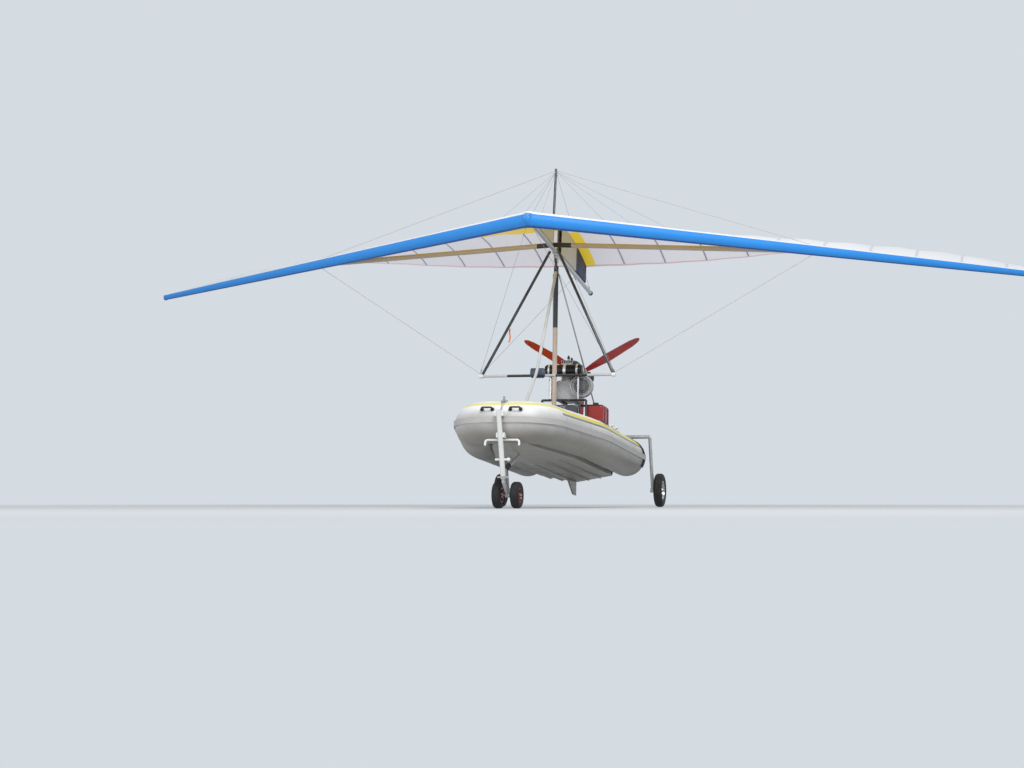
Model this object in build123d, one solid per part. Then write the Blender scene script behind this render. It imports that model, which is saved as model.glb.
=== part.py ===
"""A flying inflatable boat: a delta wing on a mast over a blunt-bowed boat with a pusher engine.

All sizes are millimetres. The boat is drawn in its own frame, with X to port, Y aft from the bow's
front face and Z up from the line of the tube tops. The wing is drawn in a second frame, with Y aft
along the keel tube from its nose. Last, everything is turned and lifted so that the wheels stand on
Z = 0, and moved so that the middle of its box is over the origin.
"""

from build123d import *
from math import asin, atan2, cos, degrees, hypot, radians, sin
import os

# Clearances

seat_gap = 0.3  # between pieces of one body that seat on each other
run_gap = 0.5  # round a shaft, all the way round

# Boat: inflatable collar

boat_length = 4200
boat_beam = 1640
collar_radius = 220
bow_half_width = 330  # where the centre line's two bow corners lie
bow_corner_radius = 260
bow_rise = 30
flare_start = 1500  # aft of this the sides run parallel
flare_bend = 1500
cone_start = 3700
cone_tip_radius = 90
strake_width = 60
strake_depth = 12

# Boat: rigid bottom, deck and stern

keel_depth = 510
chine_depth = 432
chine_half_width = 430
deck_top_depth = 312
deck_thickness = 18
transom_face = 3650
transom_thickness = 40
transom_top_depth = 60
transom_shoulder = 70  # how much wider than the bottom the stern board is at its widest
transom_top_inset = 30
bow_foot = 240  # where the bottom's stem starts, under the bow tube
spray_rail_width = 34
spray_rail_depth = 14
spray_rail_inner = 130  # from the keel out to the first rail's inner edge
spray_rail_pitch = 140
keel_strip_width = 32
keel_strip_depth = 8
skeg_length = 460
skeg_depth = 160
skeg_thickness = 16
pad_thickness = 8
eye_radius = 14
eye_wall = 10
eye_thickness = 16
eye_height = 34
eye_pad_radius = 40
eye_shank_radius = 7
stern_eye_out = 300
stern_eye_depth = 170

# Boat: fittings on the tubes and the bow

cleat_places = (2250, 2500)
foot_places = (1740, 1900)
valve_places = (1760, 2950)
port_fitting_up = 62  # degrees from straight outboard round to straight up
valve_up = 148
patch_radius = 55
patch_thickness = 5
cleat_size = (26, 100, 14)
cleat_stem_radius = 12
cleat_stand = 24
foot_radius = 28
foot_height = 20
valve_radius = 34
valve_height = 8
handle_out = 150
handle_grip = 110
handle_stand = 42
handle_radius = 9
handle_foot_radius = 20
handle_up = 60  # degrees from straight ahead round to straight up
rail_half_width = 180
rail_radius = 12
rail_under = 57  # degrees from straight ahead round to straight down
rail_end_drop = 60

# Nose gear

nose_rake = 20  # degrees, the steering axis leans back from the top down
head_radius = 26
head_pad = 12
head_above = 190  # from where the bow tube is nearest, up and down the steering axis
head_below = 500
saddle_half_width = 45
saddle_half_height = 25
saddle_places = (-158, 70)  # down the steering axis
peg_down = 330
peg_half_width = 70
peg_radius = 11
knob_radius = 20
damper_radius = 22
damper_share = 0.62
drag_rod_radius = 12
drag_foot_behind = 620  # aft of the stem's foot, on the keel
stem_radius = 15
nose_axle_down = 745
nose_trail = 135
nose_wheel_radius = 140
nose_tyre_width = 95
nose_wheel_spacing = 195
nose_rim_radius = 78
nose_axle_radius = 8
fork_ring_length = 34
fork_tiller_half_width = 60
fork_tiller_radius = 8
fork_plate_thickness = 28
fork_boss_radius = 26
fork_boss_half_width = 24
rim_wall = 10
rim_hub_wall = 18

# Main gear

main_axle_aft = 3880
main_axle_depth = 590
main_wheel_radius = 200
main_tyre_width = 100
main_rim_radius = 112
main_axle_radius = 10
gear_beam_aft = 3650
gear_beam_height = 22
gear_beam_radius = 22
gear_leg_radius = 20
leg_outboard = 65  # from the tube's side out to the leg's centre line
leg_wheel_gap = 15
leg_boss_radius = 28
leg_boss_half_width = 26
beam_saddle_half_width = 70
beam_saddle_half_length = 45
beam_saddle_depth = 80

# Frame, mast and struts

beam_side = 50
beam_front = 560
mast_behind = 10  # aft of the hang point
mast_radius = 27
strut_radius = 17
knee_ahead = 880  # of the mast
knee_height = 510
strut_foot = 620
strut_bend = 300
stay_radius = 9
stay_out = 250
mast_foot_half_width = 45
mast_foot_thickness = 12
tongue_half_width = 10
tongue_half_length = 24

# Hang point and wing attitude

hang_aft = 2420
hang_height = 1930
wing_nose_up = 4.2  # degrees, keel tube against the line of the tube tops
hang_drop = 90  # pitch pin below the keel tube's centre
hang_station = 1480  # along the keel tube from its nose
hang_sleeve_length = 100
hang_sleeve_wall = 14
hang_pin_radius = 6
cheek_gap = 2  # between the tongue and each cheek
cheek_thickness = 10

# Wing

half_span = 5500
keel_length = 3400
keel_radius = 25
root_gap = 30  # half the gap between the sail halves over the keel
edge_root_y = 30
edge_tip_y = 3050
edge_root_radius = 88
edge_tip_radius = 38
edge_root_depth = 300
edge_tip_depth = 110
front_heights = (105, 70, 24)  # of the sail at root, half span and tip, as the three lines below
peak_heights = (330, 200, 80)
back_heights = (230, 90, 110)
back_places = (3000, 3030, 3440)
sail_thickness = 6
pocket_half_width = 28
pocket_gap_ahead = 60
pocket_gap_behind = 130
nose_plate_length = 200
nose_plate_thickness = 8
keel_cap_length = 40
keel_cap_proud = 4
crossbar_station = 1340
crossbar_span = 2950
crossbar_radius = 28
king_post_station = 1260
king_post_height = 950
king_post_radius = 14
king_post_rake = 60
apex_station = 1370
upright_radius = 16
control_half_width = 760
control_ahead = 254
control_drop = 1493
base_bar_radius = 15
corner_radius = 24
corner_half_width = 22
wire_radius = 2.5

# Engine and propeller

bearer_height = 380
bearer_half_gap = 75
bearer_radius = 15
frame_ahead = 110  # the front cross tube, ahead of the crankcase
frame_behind = 430  # the rear cross tube, aft of the crankcase's front
frame_half_width = 260
frame_splay = 40
front_leg_rake = 100
rear_leg_rake = 40
cross_tube_radius = 14
shelf_rail_radius = 12
propeller_behind = 200  # aft of the stern board's face
propeller_reach = 790  # from the crankcase's front to the propeller's middle
crankcase_length = 360
crankcase_width = 250
crankcase_height = 230
crankcase_corner = 40
flange_proud = 6
cylinder_pitch = 170
cylinder_height = 190
bore_radius = 52
fin_side = 150
fin_corner = 22
fin_count = 8
fin_share = 0.4  # of each fin's pitch that is metal
head_height = 55
head_fin_count = 7
head_rib = 6
plug_radius = 12
plug_height = 45
shroud_depth = 48
shroud_corner = 16
throat_radius = 24
throat_length = 62
bowl_radius = 22
bowl_drop = 62
filter_radius = 46
filter_length = 80
fan_radius = 135
fan_depth = 70
fan_lip = 18
fan_rib = 5
fan_spokes = 8
fan_offset = 190
fan_height = 30  # above the crank
muffler_radius = 70
muffler_length = 440
muffler_dome = 34
muffler_band_out = 165
band_width = 15
band_proud = 6
pipe_out = 55
muffler_ahead = 160
muffler_height = 720
pipe_radius = 20
branch_radius = 17
pulley_width = 60
small_pulley_radius = 70
large_pulley_radius = 90
shaft_radius = 18
propeller_height = 820
propeller_radius = 820
hub_radius = 70
hub_length = 60
blade_count = 3
blade_first_angle = 30  # degrees from port, seen from ahead

# Seats, pod and tank

seat_width = 400
seat_length = 430
seat_thickness = 80
front_seat_ahead = 640  # of the mast
front_seat_height = -120
rear_seat_behind = 60  # aft of the mast
rear_seat_height = -20
seat_corner = 55
back_length = 440
back_thickness = 60
back_lean = 14
stand_radius = 11
stand_inset = 50
stand_rail_radius = 9
pod_size = (160, 80, 95)
pod_corner = 18
pod_lean = 20
tank_ahead = 100  # of the crankcase's front
tank_length = 370
tank_out = 460
tank_width = 200
tank_low = 20
tank_height = 310
tank_corner = 35
tank_cap_radius = 34
tank_cap_height = 24
shelf_height = 0

# Places that follow from the sizes

mast_aft = hang_aft + mast_behind
strut_knee = (mast_aft - knee_ahead, knee_height)
front_seat_aft = mast_aft - front_seat_ahead
rear_seat_aft = mast_aft + rear_seat_behind
propeller_aft = transom_face + propeller_behind
crankcase_front = propeller_aft - propeller_reach
frame_front = crankcase_front - frame_ahead
frame_rear = crankcase_front + frame_behind
muffler_aft = crankcase_front - muffler_ahead
tank_front = crankcase_front - tank_ahead
gear_leg_out = boat_beam / 2 + leg_outboard
wheel_out = gear_leg_out + gear_leg_radius + leg_wheel_gap + main_tyre_width / 2
collar_side = boat_beam / 2 - collar_radius
bow_centre_z = bow_rise - collar_radius
deck_bottom = -deck_top_depth - deck_thickness
beam_top = beam_side - deck_top_depth
head_reach = collar_radius + head_pad + head_radius
head_near_y = collar_radius - cos(radians(nose_rake)) * head_reach
head_near_z = bow_centre_z - sin(radians(nose_rake)) * head_reach


def on_steering_axis(down, behind=0):
    """The point that lies this far down the steering axis and this far behind it, at x = 0."""
    lean = radians(nose_rake)
    y = head_near_y + sin(lean) * down + cos(lean) * behind
    z = head_near_z - cos(lean) * down + sin(lean) * behind
    return (0, y, z)


nose_axle = on_steering_axis(nose_axle_down, nose_trail)

# Parking attitude: the line of the axles, less the step between the wheel radii

axle_run = main_axle_aft - nose_axle[1]
axle_rise = -main_axle_depth - nose_axle[2]
wheel_step = main_wheel_radius - nose_wheel_radius
park_turn = degrees(asin(wheel_step / hypot(axle_run, axle_rise)) - atan2(axle_rise, axle_run))
turned_axle_height = sin(radians(park_turn)) * main_axle_aft - cos(radians(park_turn)) * main_axle_depth
park_lift = main_wheel_radius - turned_axle_height

# Wing frame in the boat frame: the pitch pin is where the hang point is

wing_place = (
    Location((0, hang_aft, hang_height))
    * Location((0, 0, 0), (-wing_nose_up, 0, 0))
    * Location((0, -hang_station, hang_drop))
)


# Shapes that many pieces use

on_base = (Align.CENTER, Align.CENTER, Align.MIN)


def rod(start, end, radius):
    """A round bar from one point to the other."""
    line = Vector(*end) - Vector(*start)
    return Plane(origin=start, z_dir=line) * Cylinder(radius, line.length, align=on_base)


def cross_rod(y, z, half, radius, middle=0):
    """A round bar across the boat, reaching as far to each side of its middle."""
    return rod((middle - half, y, z), (middle + half, y, z), radius)


def long_rod(front, back, z, radius, x=0):
    """A round bar straight aft."""
    return rod((x, front, z), (x, back, z), radius)


def reach_of(middle, half):
    """The low and high value that lie as far to each side of the middle."""
    return (middle - half, middle + half)


def bent_bar(points, radius, bend):
    """A round bar along straight runs joined by arcs."""
    path = FilletPolyline(*points, radius=bend)
    return sweep(Plane(origin=path @ 0, z_dir=path % 0) * Circle(radius), path=path)


def block(x, y, z):
    """A box between the low and high value on each axis."""
    size = (x[1] - x[0], y[1] - y[0], z[1] - z[0])
    return Pos(x[0], y[0], z[0]) * Box(*size, align=(Align.MIN, Align.MIN, Align.MIN))


def side_profile(*points):
    """A face in the YZ plane with straight edges."""
    return make_face(Polyline(*[(0, y, z) for y, z in points], close=True))


def mirrored(shape):
    """The shape and its image across the centre plane, as separate solids."""
    return Compound(children=[shape, mirror(shape, Plane.YZ)])


# Boat

# The collar's centre line: its corners from the port stern round the bow, and the bend at each
port_line = [
    (collar_side, cone_start, -collar_radius),
    (collar_side, flare_start, -collar_radius),
    (bow_half_width, collar_radius, bow_centre_z),
]
collar_line = port_line + [(-x, y, z) for x, y, z in reversed(port_line)]
collar_bends = [flare_bend, bow_corner_radius, bow_corner_radius, flare_bend]


def collar(grow=0):
    """The inflated tube: round the bow, flaring to parallel sides, with a cone at each stern end."""
    radius = collar_radius + grow
    tube = bent_bar(collar_line, radius, collar_bends)
    cone = Cone(radius, cone_tip_radius + grow, boat_length - cone_start + grow, align=on_base)
    cone = fillet(cone.edges().sort_by(Axis.Z)[-1], cone_tip_radius / 2)
    cone = Pos(collar_side, cone_start, -collar_radius) * (Rot(-90, 0, 0) * cone)
    return tube + cone + mirror(cone, Plane.YZ)


def rub_strake(fat_collar):
    """A flat rubber band round the widest line of the tube, from one cone to the other."""
    reach = collar_radius + strake_depth
    path = FilletPolyline(*collar_line, radius=collar_bends)
    start = Plane(origin=collar_line[0], x_dir=(1, 0, 0), z_dir=(0, -1, 0))
    section = start * Pos(reach / 2, 0) * Rectangle(reach, strake_width)
    return sweep(section, path=path) - fat_collar


# Sections of the rigid bottom from the stem aft: the place, and the shares of the full depth of the keel,
# the full depth of the chine and the full half width
bottom_sections = [
    {"aft": bow_foot, "keel": 0.76, "chine": 0.86, "half": 0.28},
    {"aft": beam_front, "keel": 0.88, "chine": 0.94, "half": 0.53},
    {"aft": flare_start, "keel": 1, "chine": 1, "half": 1},
    {"aft": transom_face, "keel": 1, "chine": 1, "half": 1},
]


def bottom_outline(section):
    """One cross section of the bottom as a face."""
    aft = section["aft"]
    half = section["half"] * chine_half_width
    keel = -section["keel"] * keel_depth
    chine = -section["chine"] * chine_depth
    points = [(0, keel), (half, chine), (half, deck_bottom), (-half, deck_bottom), (-half, chine)]
    return make_face(Polyline(*[(x, aft, z) for x, z in points], close=True))


def hull_bottom(fat_collar):
    """The rigid V under the deck, with two spray rails a side and a keel strip."""
    shape = loft([bottom_outline(section) for section in bottom_sections], ruled=True) - fat_collar
    slope = (keel_depth - chine_depth) / chine_half_width
    sunk = 2  # so that the rails join the bottom
    for inner in (spray_rail_inner, spray_rail_inner + spray_rail_pitch):
        outer = inner + spray_rail_width
        low = slope * inner - keel_depth
        outer_top = slope * outer - keel_depth + sunk
        points = [(inner, low + sunk), (outer, outer_top), (outer, low - spray_rail_depth)]
        face = make_face(Polyline(*[(x, flare_start, z) for x, z in points], close=True))
        rail = extrude(face, amount=transom_face - flare_start, dir=(0, 1, 0))
        shape = shape + rail + mirror(rail, Plane.YZ)
    along = (flare_start, transom_face - skeg_length)
    return shape + block(reach_of(0, keel_strip_width / 2), along, reach_of(-keel_depth, keel_strip_depth))


def deck(fat_collar):
    """The flat floor between the tubes."""
    plate = block((-collar_side, collar_side), (collar_radius, transom_face), (deck_bottom, -deck_top_depth))
    return (plate - fat_collar).solids().sort_by(SortBy.VOLUME)[-1]


def transom(fat_collar):
    """The stern board between the tubes."""
    widest = chine_half_width + transom_shoulder
    top = widest - transom_top_inset
    points = [
        (0, -keel_depth),
        (chine_half_width, -chine_depth),
        (widest, -collar_radius),
        (top, -transom_top_depth),
    ]
    outline = points + [(-x, z) for x, z in reversed(points[1:])]
    face = make_face(Polyline(*[(x, transom_face, z) for x, z in outline], close=True))
    return extrude(face, amount=transom_thickness, dir=(0, 1, 0)) - fat_collar


def skeg():
    """A raked triangular fin under the keel at the stern."""
    end = transom_face
    profile = side_profile(
        (end - skeg_length, -keel_depth - seat_gap),
        (end, -keel_depth - seat_gap),
        (end, -keel_depth - skeg_depth),
        (end - skeg_length / 3, -keel_depth - skeg_depth),
    )
    return extrude(profile, amount=skeg_thickness / 2, both=True)


def bow_handle(x):
    """A moulded hand loop on the front of the bow tube, on two feet."""
    near, far = x - handle_grip / 2, x + handle_grip / 2
    corners = [(near, 0, 0), (near, 0, handle_stand), (far, 0, handle_stand), (far, 0, 0)]
    handle = bent_bar(corners, handle_radius, 2 * handle_radius)
    for foot in (near, far):
        handle = handle + Pos(foot, 0, 0) * Cylinder(handle_foot_radius, pad_thickness, align=on_base)
    reach = collar_radius + seat_gap
    place = Pos(0, collar_radius, bow_centre_z) * Rot(handle_up, 0, 0) * Pos(0, 0, reach)
    return place * handle


def on_side_tube(shape, side, aft, up):
    """A fitting drawn on its foot, set on a side tube this many degrees up from straight outboard."""
    place = Pos(side * collar_side, aft, -collar_radius) * Rot(0, side * (90 - up), 0)
    return place * Pos(0, 0, collar_radius + seat_gap) * shape


def tube_fittings():
    """The cleats and feet on the port tube's top and the air valves on both tubes' inner sides."""
    patch = Cylinder(patch_radius, patch_thickness, align=on_base)
    stem = Cylinder(cleat_stem_radius, cleat_stand + patch_thickness, align=on_base)
    bar = fillet(Box(*cleat_size).edges().filter_by(Axis.Z), cleat_stem_radius)
    bar = Pos(0, 0, cleat_stand + patch_thickness) * bar
    foot = Cylinder(foot_radius, foot_height, align=on_base)
    valve = patch + Cylinder(valve_radius, patch_thickness + valve_height, align=on_base)
    shapes = [on_side_tube(patch + stem + bar, 1, aft, port_fitting_up) for aft in cleat_places]
    shapes += [on_side_tube(patch + foot, 1, aft, port_fitting_up) for aft in foot_places]
    shapes += [on_side_tube(valve, side, aft, valve_up) for side in (-1, 1) for aft in valve_places]
    return Compound(children=shapes)


def bow_rail():
    """The bent white rail that lies against the low front of the bow tube, with its ends turned down."""
    reach = collar_radius + rail_radius + seat_gap
    y = collar_radius - cos(radians(rail_under)) * reach
    z = bow_centre_z - sin(radians(rail_under)) * reach
    low = (y - rail_end_drop / 6, z - rail_end_drop)
    half = rail_half_width
    corners = [(-half, *low), (-half, y, z), (half, y, z), (half, *low)]
    return bent_bar(corners, rail_radius, 2.5 * rail_radius)


def head_tube(fat_collar):
    """The white tube that the nose leg turns in, with cross pegs and two saddles on the bow tube."""
    top = on_steering_axis(-head_above)
    low = on_steering_axis(head_below)
    tube = rod(top, low, head_radius)
    for down in saddle_places:
        y, z = on_steering_axis(down)[1:]
        along = (y, y + 2 * saddle_half_width)
        saddle = block(reach_of(0, saddle_half_width), along, reach_of(z, saddle_half_height))
        tube = tube + (saddle - fat_collar).solids().sort_by(Axis.Y)[0]
    peg = on_steering_axis(peg_down)[1:]
    pegs = cross_rod(*peg, peg_half_width, peg_radius)
    knob = Pos(peg_half_width, *peg) * Sphere(knob_radius)
    past = head_below + head_above
    return tube + pegs + knob - rod(on_steering_axis(-past), on_steering_axis(past), stem_radius + run_gap)


def drag_strut(bottom):
    """The damper that braces the head tube's low end against the keel."""
    start = Vector(*on_steering_axis(head_below - 2 * damper_radius))
    stem, full = bottom_sections[1], bottom_sections[2]
    aft = bow_foot + drag_foot_behind
    share = (aft - stem["aft"]) / (full["aft"] - stem["aft"])
    keel = keel_depth * (stem["keel"] + share * (full["keel"] - stem["keel"]))
    end = Vector(0, aft, drag_rod_radius - keel)
    middle = start + (end - start) * damper_share
    around = rod(on_steering_axis(0), on_steering_axis(2 * head_below), head_radius + seat_gap)
    strut = rod(start, middle, damper_radius) + rod(middle, end, drag_rod_radius) - around
    return (strut - Pos(0, 0, -seat_gap) * bottom).solids().sort_by(SortBy.VOLUME)[-1]


def eye():
    """A ring with a cylindrical hole across it, standing on a round pad."""
    ring_centre = Pos(0, 0, eye_height) * Rot(0, 90, 0)
    pad = Cylinder(eye_pad_radius, pad_thickness, align=on_base)
    shank = Cylinder(eye_shank_radius, eye_height, align=on_base)
    ring = ring_centre * Cylinder(eye_radius + eye_wall, eye_thickness)
    return pad + shank + ring - ring_centre * Cylinder(eye_radius, 2 * eye_thickness)


tow_eye_up = 70  # degrees from straight ahead round to straight up
tow_eye_turn = Pos(0, collar_radius, bow_centre_z) * Rot(90 - tow_eye_up, 0, 0)
tow_eye_place = tow_eye_turn * Pos(0, 0, collar_radius + seat_gap)
stern_eye_face = transom_face + transom_thickness + seat_gap
stern_eye_place = Pos(stern_eye_out, stern_eye_face, -stern_eye_depth) * Rot(-90, 0, 0) * Rot(0, 0, 90)


def tow_eye():
    """The eye on top of the bow tube, with its hole across the boat."""
    return tow_eye_place * eye()


def stern_eyes():
    """An eye on each side of the transom's after face, with its hole up and down."""
    return mirrored(stern_eye_place * eye())


def gear_beam(fat_collar):
    """The cross tube over the stern with a saddle on each side tube."""
    tube = cross_rod(gear_beam_aft, gear_beam_height, gear_leg_out, gear_beam_radius)
    saddle = block(
        reach_of(collar_side, beam_saddle_half_width),
        reach_of(gear_beam_aft, beam_saddle_half_length),
        (-beam_saddle_depth, gear_beam_height),
    )
    return tube + saddle + mirror(saddle, Plane.YZ) - fat_collar


def gear_leg():
    """The port main leg and the stub axle that carries the wheel."""
    axle = (main_axle_aft, -main_axle_depth)
    beam = (gear_beam_aft, gear_beam_height)
    leg = rod((gear_leg_out, *beam), (gear_leg_out, *axle), gear_leg_radius)
    leg = leg - cross_rod(*beam, 2 * gear_leg_out, gear_beam_radius + seat_gap)
    leg = leg.solids().sort_by(Axis.Z)[0]
    boss = cross_rod(*axle, leg_boss_half_width, leg_boss_radius, gear_leg_out)
    stub_end = wheel_out + main_tyre_width / 2 + pad_thickness
    return leg + boss + rod((gear_leg_out, *axle), (stub_end, *axle), main_axle_radius)


def wheel_tyre(x, y, z, radius, width, rim):
    """A tyre with a rounded tread and sidewalls, turned about the axle line."""
    half = width / 2
    shoulder = radius - half * 0.75
    profile = make_face(
        [
            Line((-half * 0.8, rim), (half * 0.8, rim)),
            ThreePointArc((half * 0.8, rim), (half, (rim + shoulder) / 2), (half * 0.92, shoulder)),
            ThreePointArc((half * 0.92, shoulder), (0, radius), (-half * 0.92, shoulder)),
            ThreePointArc((-half * 0.92, shoulder), (-half, (rim + shoulder) / 2), (-half * 0.8, rim)),
        ]
    )
    return Pos(x, y, z) * revolve(profile, axis=Axis.X)


def wheel_rim(x, y, z, width, rim, bore):
    """A split rim: a drum with a dished web and a hub, turned about the axle line."""
    half = width / 2
    outer = rim - seat_gap
    flank = half * 0.8
    web = half * 0.25
    points = [
        (-flank, outer),
        (flank, outer),
        (flank, outer - rim_wall),
        (web, outer - 1.6 * rim_wall),
        (web, bore + rim_hub_wall + 0.6 * rim_wall),
        (flank, bore + rim_hub_wall),
        (flank, bore + run_gap),
        (-flank, bore + run_gap),
        (-flank, bore + rim_hub_wall),
        (-web, bore + rim_hub_wall + 0.6 * rim_wall),
        (-web, outer - 1.6 * rim_wall),
        (-flank, outer - rim_wall),
    ]
    return Pos(x, y, z) * revolve(make_face(Polyline(*points, close=True)), axis=Axis.X)


def nose_fork():
    """The steered stem, its trailing plate between the wheels and the axle."""
    ring_low = head_below + fork_ring_length
    stem = rod(on_steering_axis(-head_above), on_steering_axis(ring_low + fork_ring_length), stem_radius)
    ring = rod(on_steering_axis(head_below + seat_gap), on_steering_axis(ring_low), head_radius)
    middle = on_steering_axis(head_below + fork_ring_length / 2)[1:]
    tiller = cross_rod(*middle, fork_tiller_half_width, fork_tiller_radius)
    corners = [
        on_steering_axis(head_below + fork_ring_length / 2),
        on_steering_axis(head_below + 2 * fork_ring_length, -stem_radius),
        on_steering_axis(nose_axle_down + fork_boss_radius, nose_trail),
        on_steering_axis(nose_axle_down - fork_boss_radius, nose_trail + stem_radius),
    ]
    plate = side_profile(*[corner[1:] for corner in corners])
    arm = extrude(plate, amount=fork_plate_thickness / 2, both=True)
    axle = nose_axle[1:]
    boss = cross_rod(*axle, fork_boss_half_width, fork_boss_radius)
    reach = nose_wheel_spacing / 2 + nose_tyre_width / 2 + pad_thickness / 2
    return stem + ring + tiller + arm + boss + cross_rod(*axle, reach, nose_axle_radius)


# Frame, seats and struts


def floor_beam():
    """The square beam along the deck that carries mast, seats and strut."""
    end = transom_face - beam_side
    return block(reach_of(0, beam_side / 2), (beam_front, end), (-deck_top_depth, beam_top))


def mast():
    """The upright from the floor beam to the hang point, with a tongue for the pitch pin."""
    top = hang_height - 2.5 * mast_radius
    tube = rod((0, mast_aft, beam_top), (0, mast_aft, top), mast_radius)
    foot = block(
        reach_of(0, mast_foot_half_width),
        reach_of(mast_aft, mast_foot_half_width),
        (beam_top, beam_top + mast_foot_thickness),
    )
    tongue = block(
        reach_of(0, tongue_half_width),
        reach_of(hang_aft, tongue_half_length),
        (top - mast_foot_thickness, hang_height + tongue_half_length),
    )
    pin_hole = cross_rod(hang_aft, hang_height, beam_side, hang_pin_radius + run_gap)
    return tube + foot + tongue - pin_hole


def front_strut(grow=0):
    """The light strut from the mast's top to the instrument pod and on down to the beam in the bow."""
    top = (0, mast_aft, hang_height - 4.5 * mast_radius)
    foot = (0, strut_foot, beam_top)
    tube = bent_bar([top, (0, *strut_knee), foot], strut_radius + grow, strut_bend)
    around_mast = rod((0, mast_aft, 0), (0, mast_aft, hang_height), mast_radius + seat_gap)
    under = (beam_top - 2 * beam_side, beam_top + seat_gap)
    under_foot = block(reach_of(0, beam_side), reach_of(strut_foot, 4 * beam_side), under)
    return (tube - around_mast - under_foot).solids().sort_by(SortBy.VOLUME)[-1]


def rear_stay():
    """The thin stay from the mast's top to the engine bearers, port side."""
    start = (mast_radius + stay_radius / 2, mast_aft, hang_height - 6 * mast_radius)
    end = (stay_out, frame_rear, bearer_height)
    around_mast = rod((0, mast_aft, 0), (0, mast_aft, hang_height), mast_radius + seat_gap)
    around_tube = cross_rod(*end[1:], 2 * stay_out, cross_tube_radius + seat_gap)
    return (rod(start, end, stay_radius) - around_mast - around_tube).solids().sort_by(SortBy.VOLUME)[-1]


def seat(aft, height):
    """A low bucket seat: cushion and leaning back."""
    across = reach_of(0, seat_width / 2)
    base = block(across, (aft, aft + seat_length), (height - seat_thickness, height))
    base = fillet(base.edges().filter_by(Axis.Z), seat_corner)
    back = block(across, (0, back_thickness), (0, back_length))
    back = fillet(back.edges().filter_by(Axis.Y), seat_corner)
    place = Pos(0, aft + seat_length - back_thickness / 2, height - back_thickness)
    return base + place * (Rot(-back_lean, 0, 0) * back)


def instrument_pod():
    """A small housing clamped on the front strut's knee, facing the seat."""
    wide, deep, high = pod_size
    pod = block(reach_of(0, wide / 2), (0, deep), reach_of(0, high / 2))
    pod = fillet(pod.edges(), pod_corner)
    aft, up = strut_knee
    place = Pos(0, aft + strut_radius, up + pod_corner)
    return place * (Rot(-pod_lean, 0, 0) * pod) - front_strut(seat_gap)


def seat_stand(aft, height):
    """A tube frame under a seat: two hoops across the floor beam, joined by side rails."""
    half = seat_width / 2 - stand_inset
    foot = -deck_top_depth
    level = height - seat_thickness - seat_gap - stand_radius
    places = (aft + stand_inset, aft + seat_length - stand_inset)
    frame = None
    for y in places:
        corners = [(-half, y, foot), (-half, y, level), (half, y, level), (half, y, foot)]
        hoop = bent_bar(corners, stand_radius, 3 * stand_radius)
        frame = hoop if frame is None else frame + hoop
    rail = half - 4 * stand_radius
    for x in (-rail, rail):
        frame = frame + rod((x, places[0], level), (x, places[1], level), stand_rail_radius)
    return frame


# Engine


def engine_mount():
    """Two bearers on cross tubes and four splayed legs, with rails and a shelf for the tank."""
    z = bearer_height
    foot = -deck_top_depth
    share = (z - shelf_height) / (z - foot)
    rail_x = frame_half_width + share * frame_splay
    shape = cross_rod(frame_front, z, frame_half_width, cross_tube_radius)
    shape = shape + cross_rod(frame_rear, z, frame_half_width, cross_tube_radius)
    for side in (-1, 1):
        bearer_x = side * bearer_half_gap
        top_x = side * frame_half_width
        foot_x = side * (frame_half_width + frame_splay)
        front_foot = (foot_x, frame_front - front_leg_rake, foot)
        rear_foot = (foot_x, frame_rear + rear_leg_rake, foot)
        rail_front = (side * rail_x, frame_front - share * front_leg_rake, shelf_height)
        rail_rear = (side * rail_x, frame_rear + share * rear_leg_rake, shelf_height)
        shape = shape + long_rod(frame_front, frame_rear, z, bearer_radius, bearer_x)
        shape = shape + rod((top_x, frame_front, z), front_foot, cross_tube_radius)
        shape = shape + rod((top_x, frame_rear, z), rear_foot, cross_tube_radius)
        shape = shape + rod(rail_front, rail_rear, shelf_rail_radius)
    across = (rail_x - 2 * shelf_rail_radius, tank_out)
    shelf = block(across, (tank_front, tank_front + tank_length), (shelf_height, tank_low - seat_gap))
    wide = 2 * frame_half_width
    under = (foot - 4 * cross_tube_radius, foot)
    return shape + shelf - block(reach_of(0, wide), (frame_front - wide, frame_rear + wide), under)


engine_base = bearer_height + bearer_radius + seat_gap
crankcase_top = engine_base + crankcase_height
crank_height = engine_base + crankcase_height * 0.55
head_top = crankcase_top + cylinder_height + head_height
cylinder_places = [crankcase_front + crankcase_length / 2 + side * cylinder_pitch / 2 for side in (-1, 1)]
port_height = crankcase_top + cylinder_height * 0.6
intake_height = crankcase_top + cylinder_height * 0.35


def crankcase():
    """The engine's lower half, with the flange that splits it along the crank's line."""
    across = reach_of(0, crankcase_width / 2)
    along = (crankcase_front, crankcase_front + crankcase_length)
    case = block(across, along, (engine_base, crankcase_top))
    case = fillet(case.edges().filter_by(Axis.Y), crankcase_corner)
    wide = crankcase_width / 2 + flange_proud
    return case + block(reach_of(0, wide), along, reach_of(crank_height, flange_proud))


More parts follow.
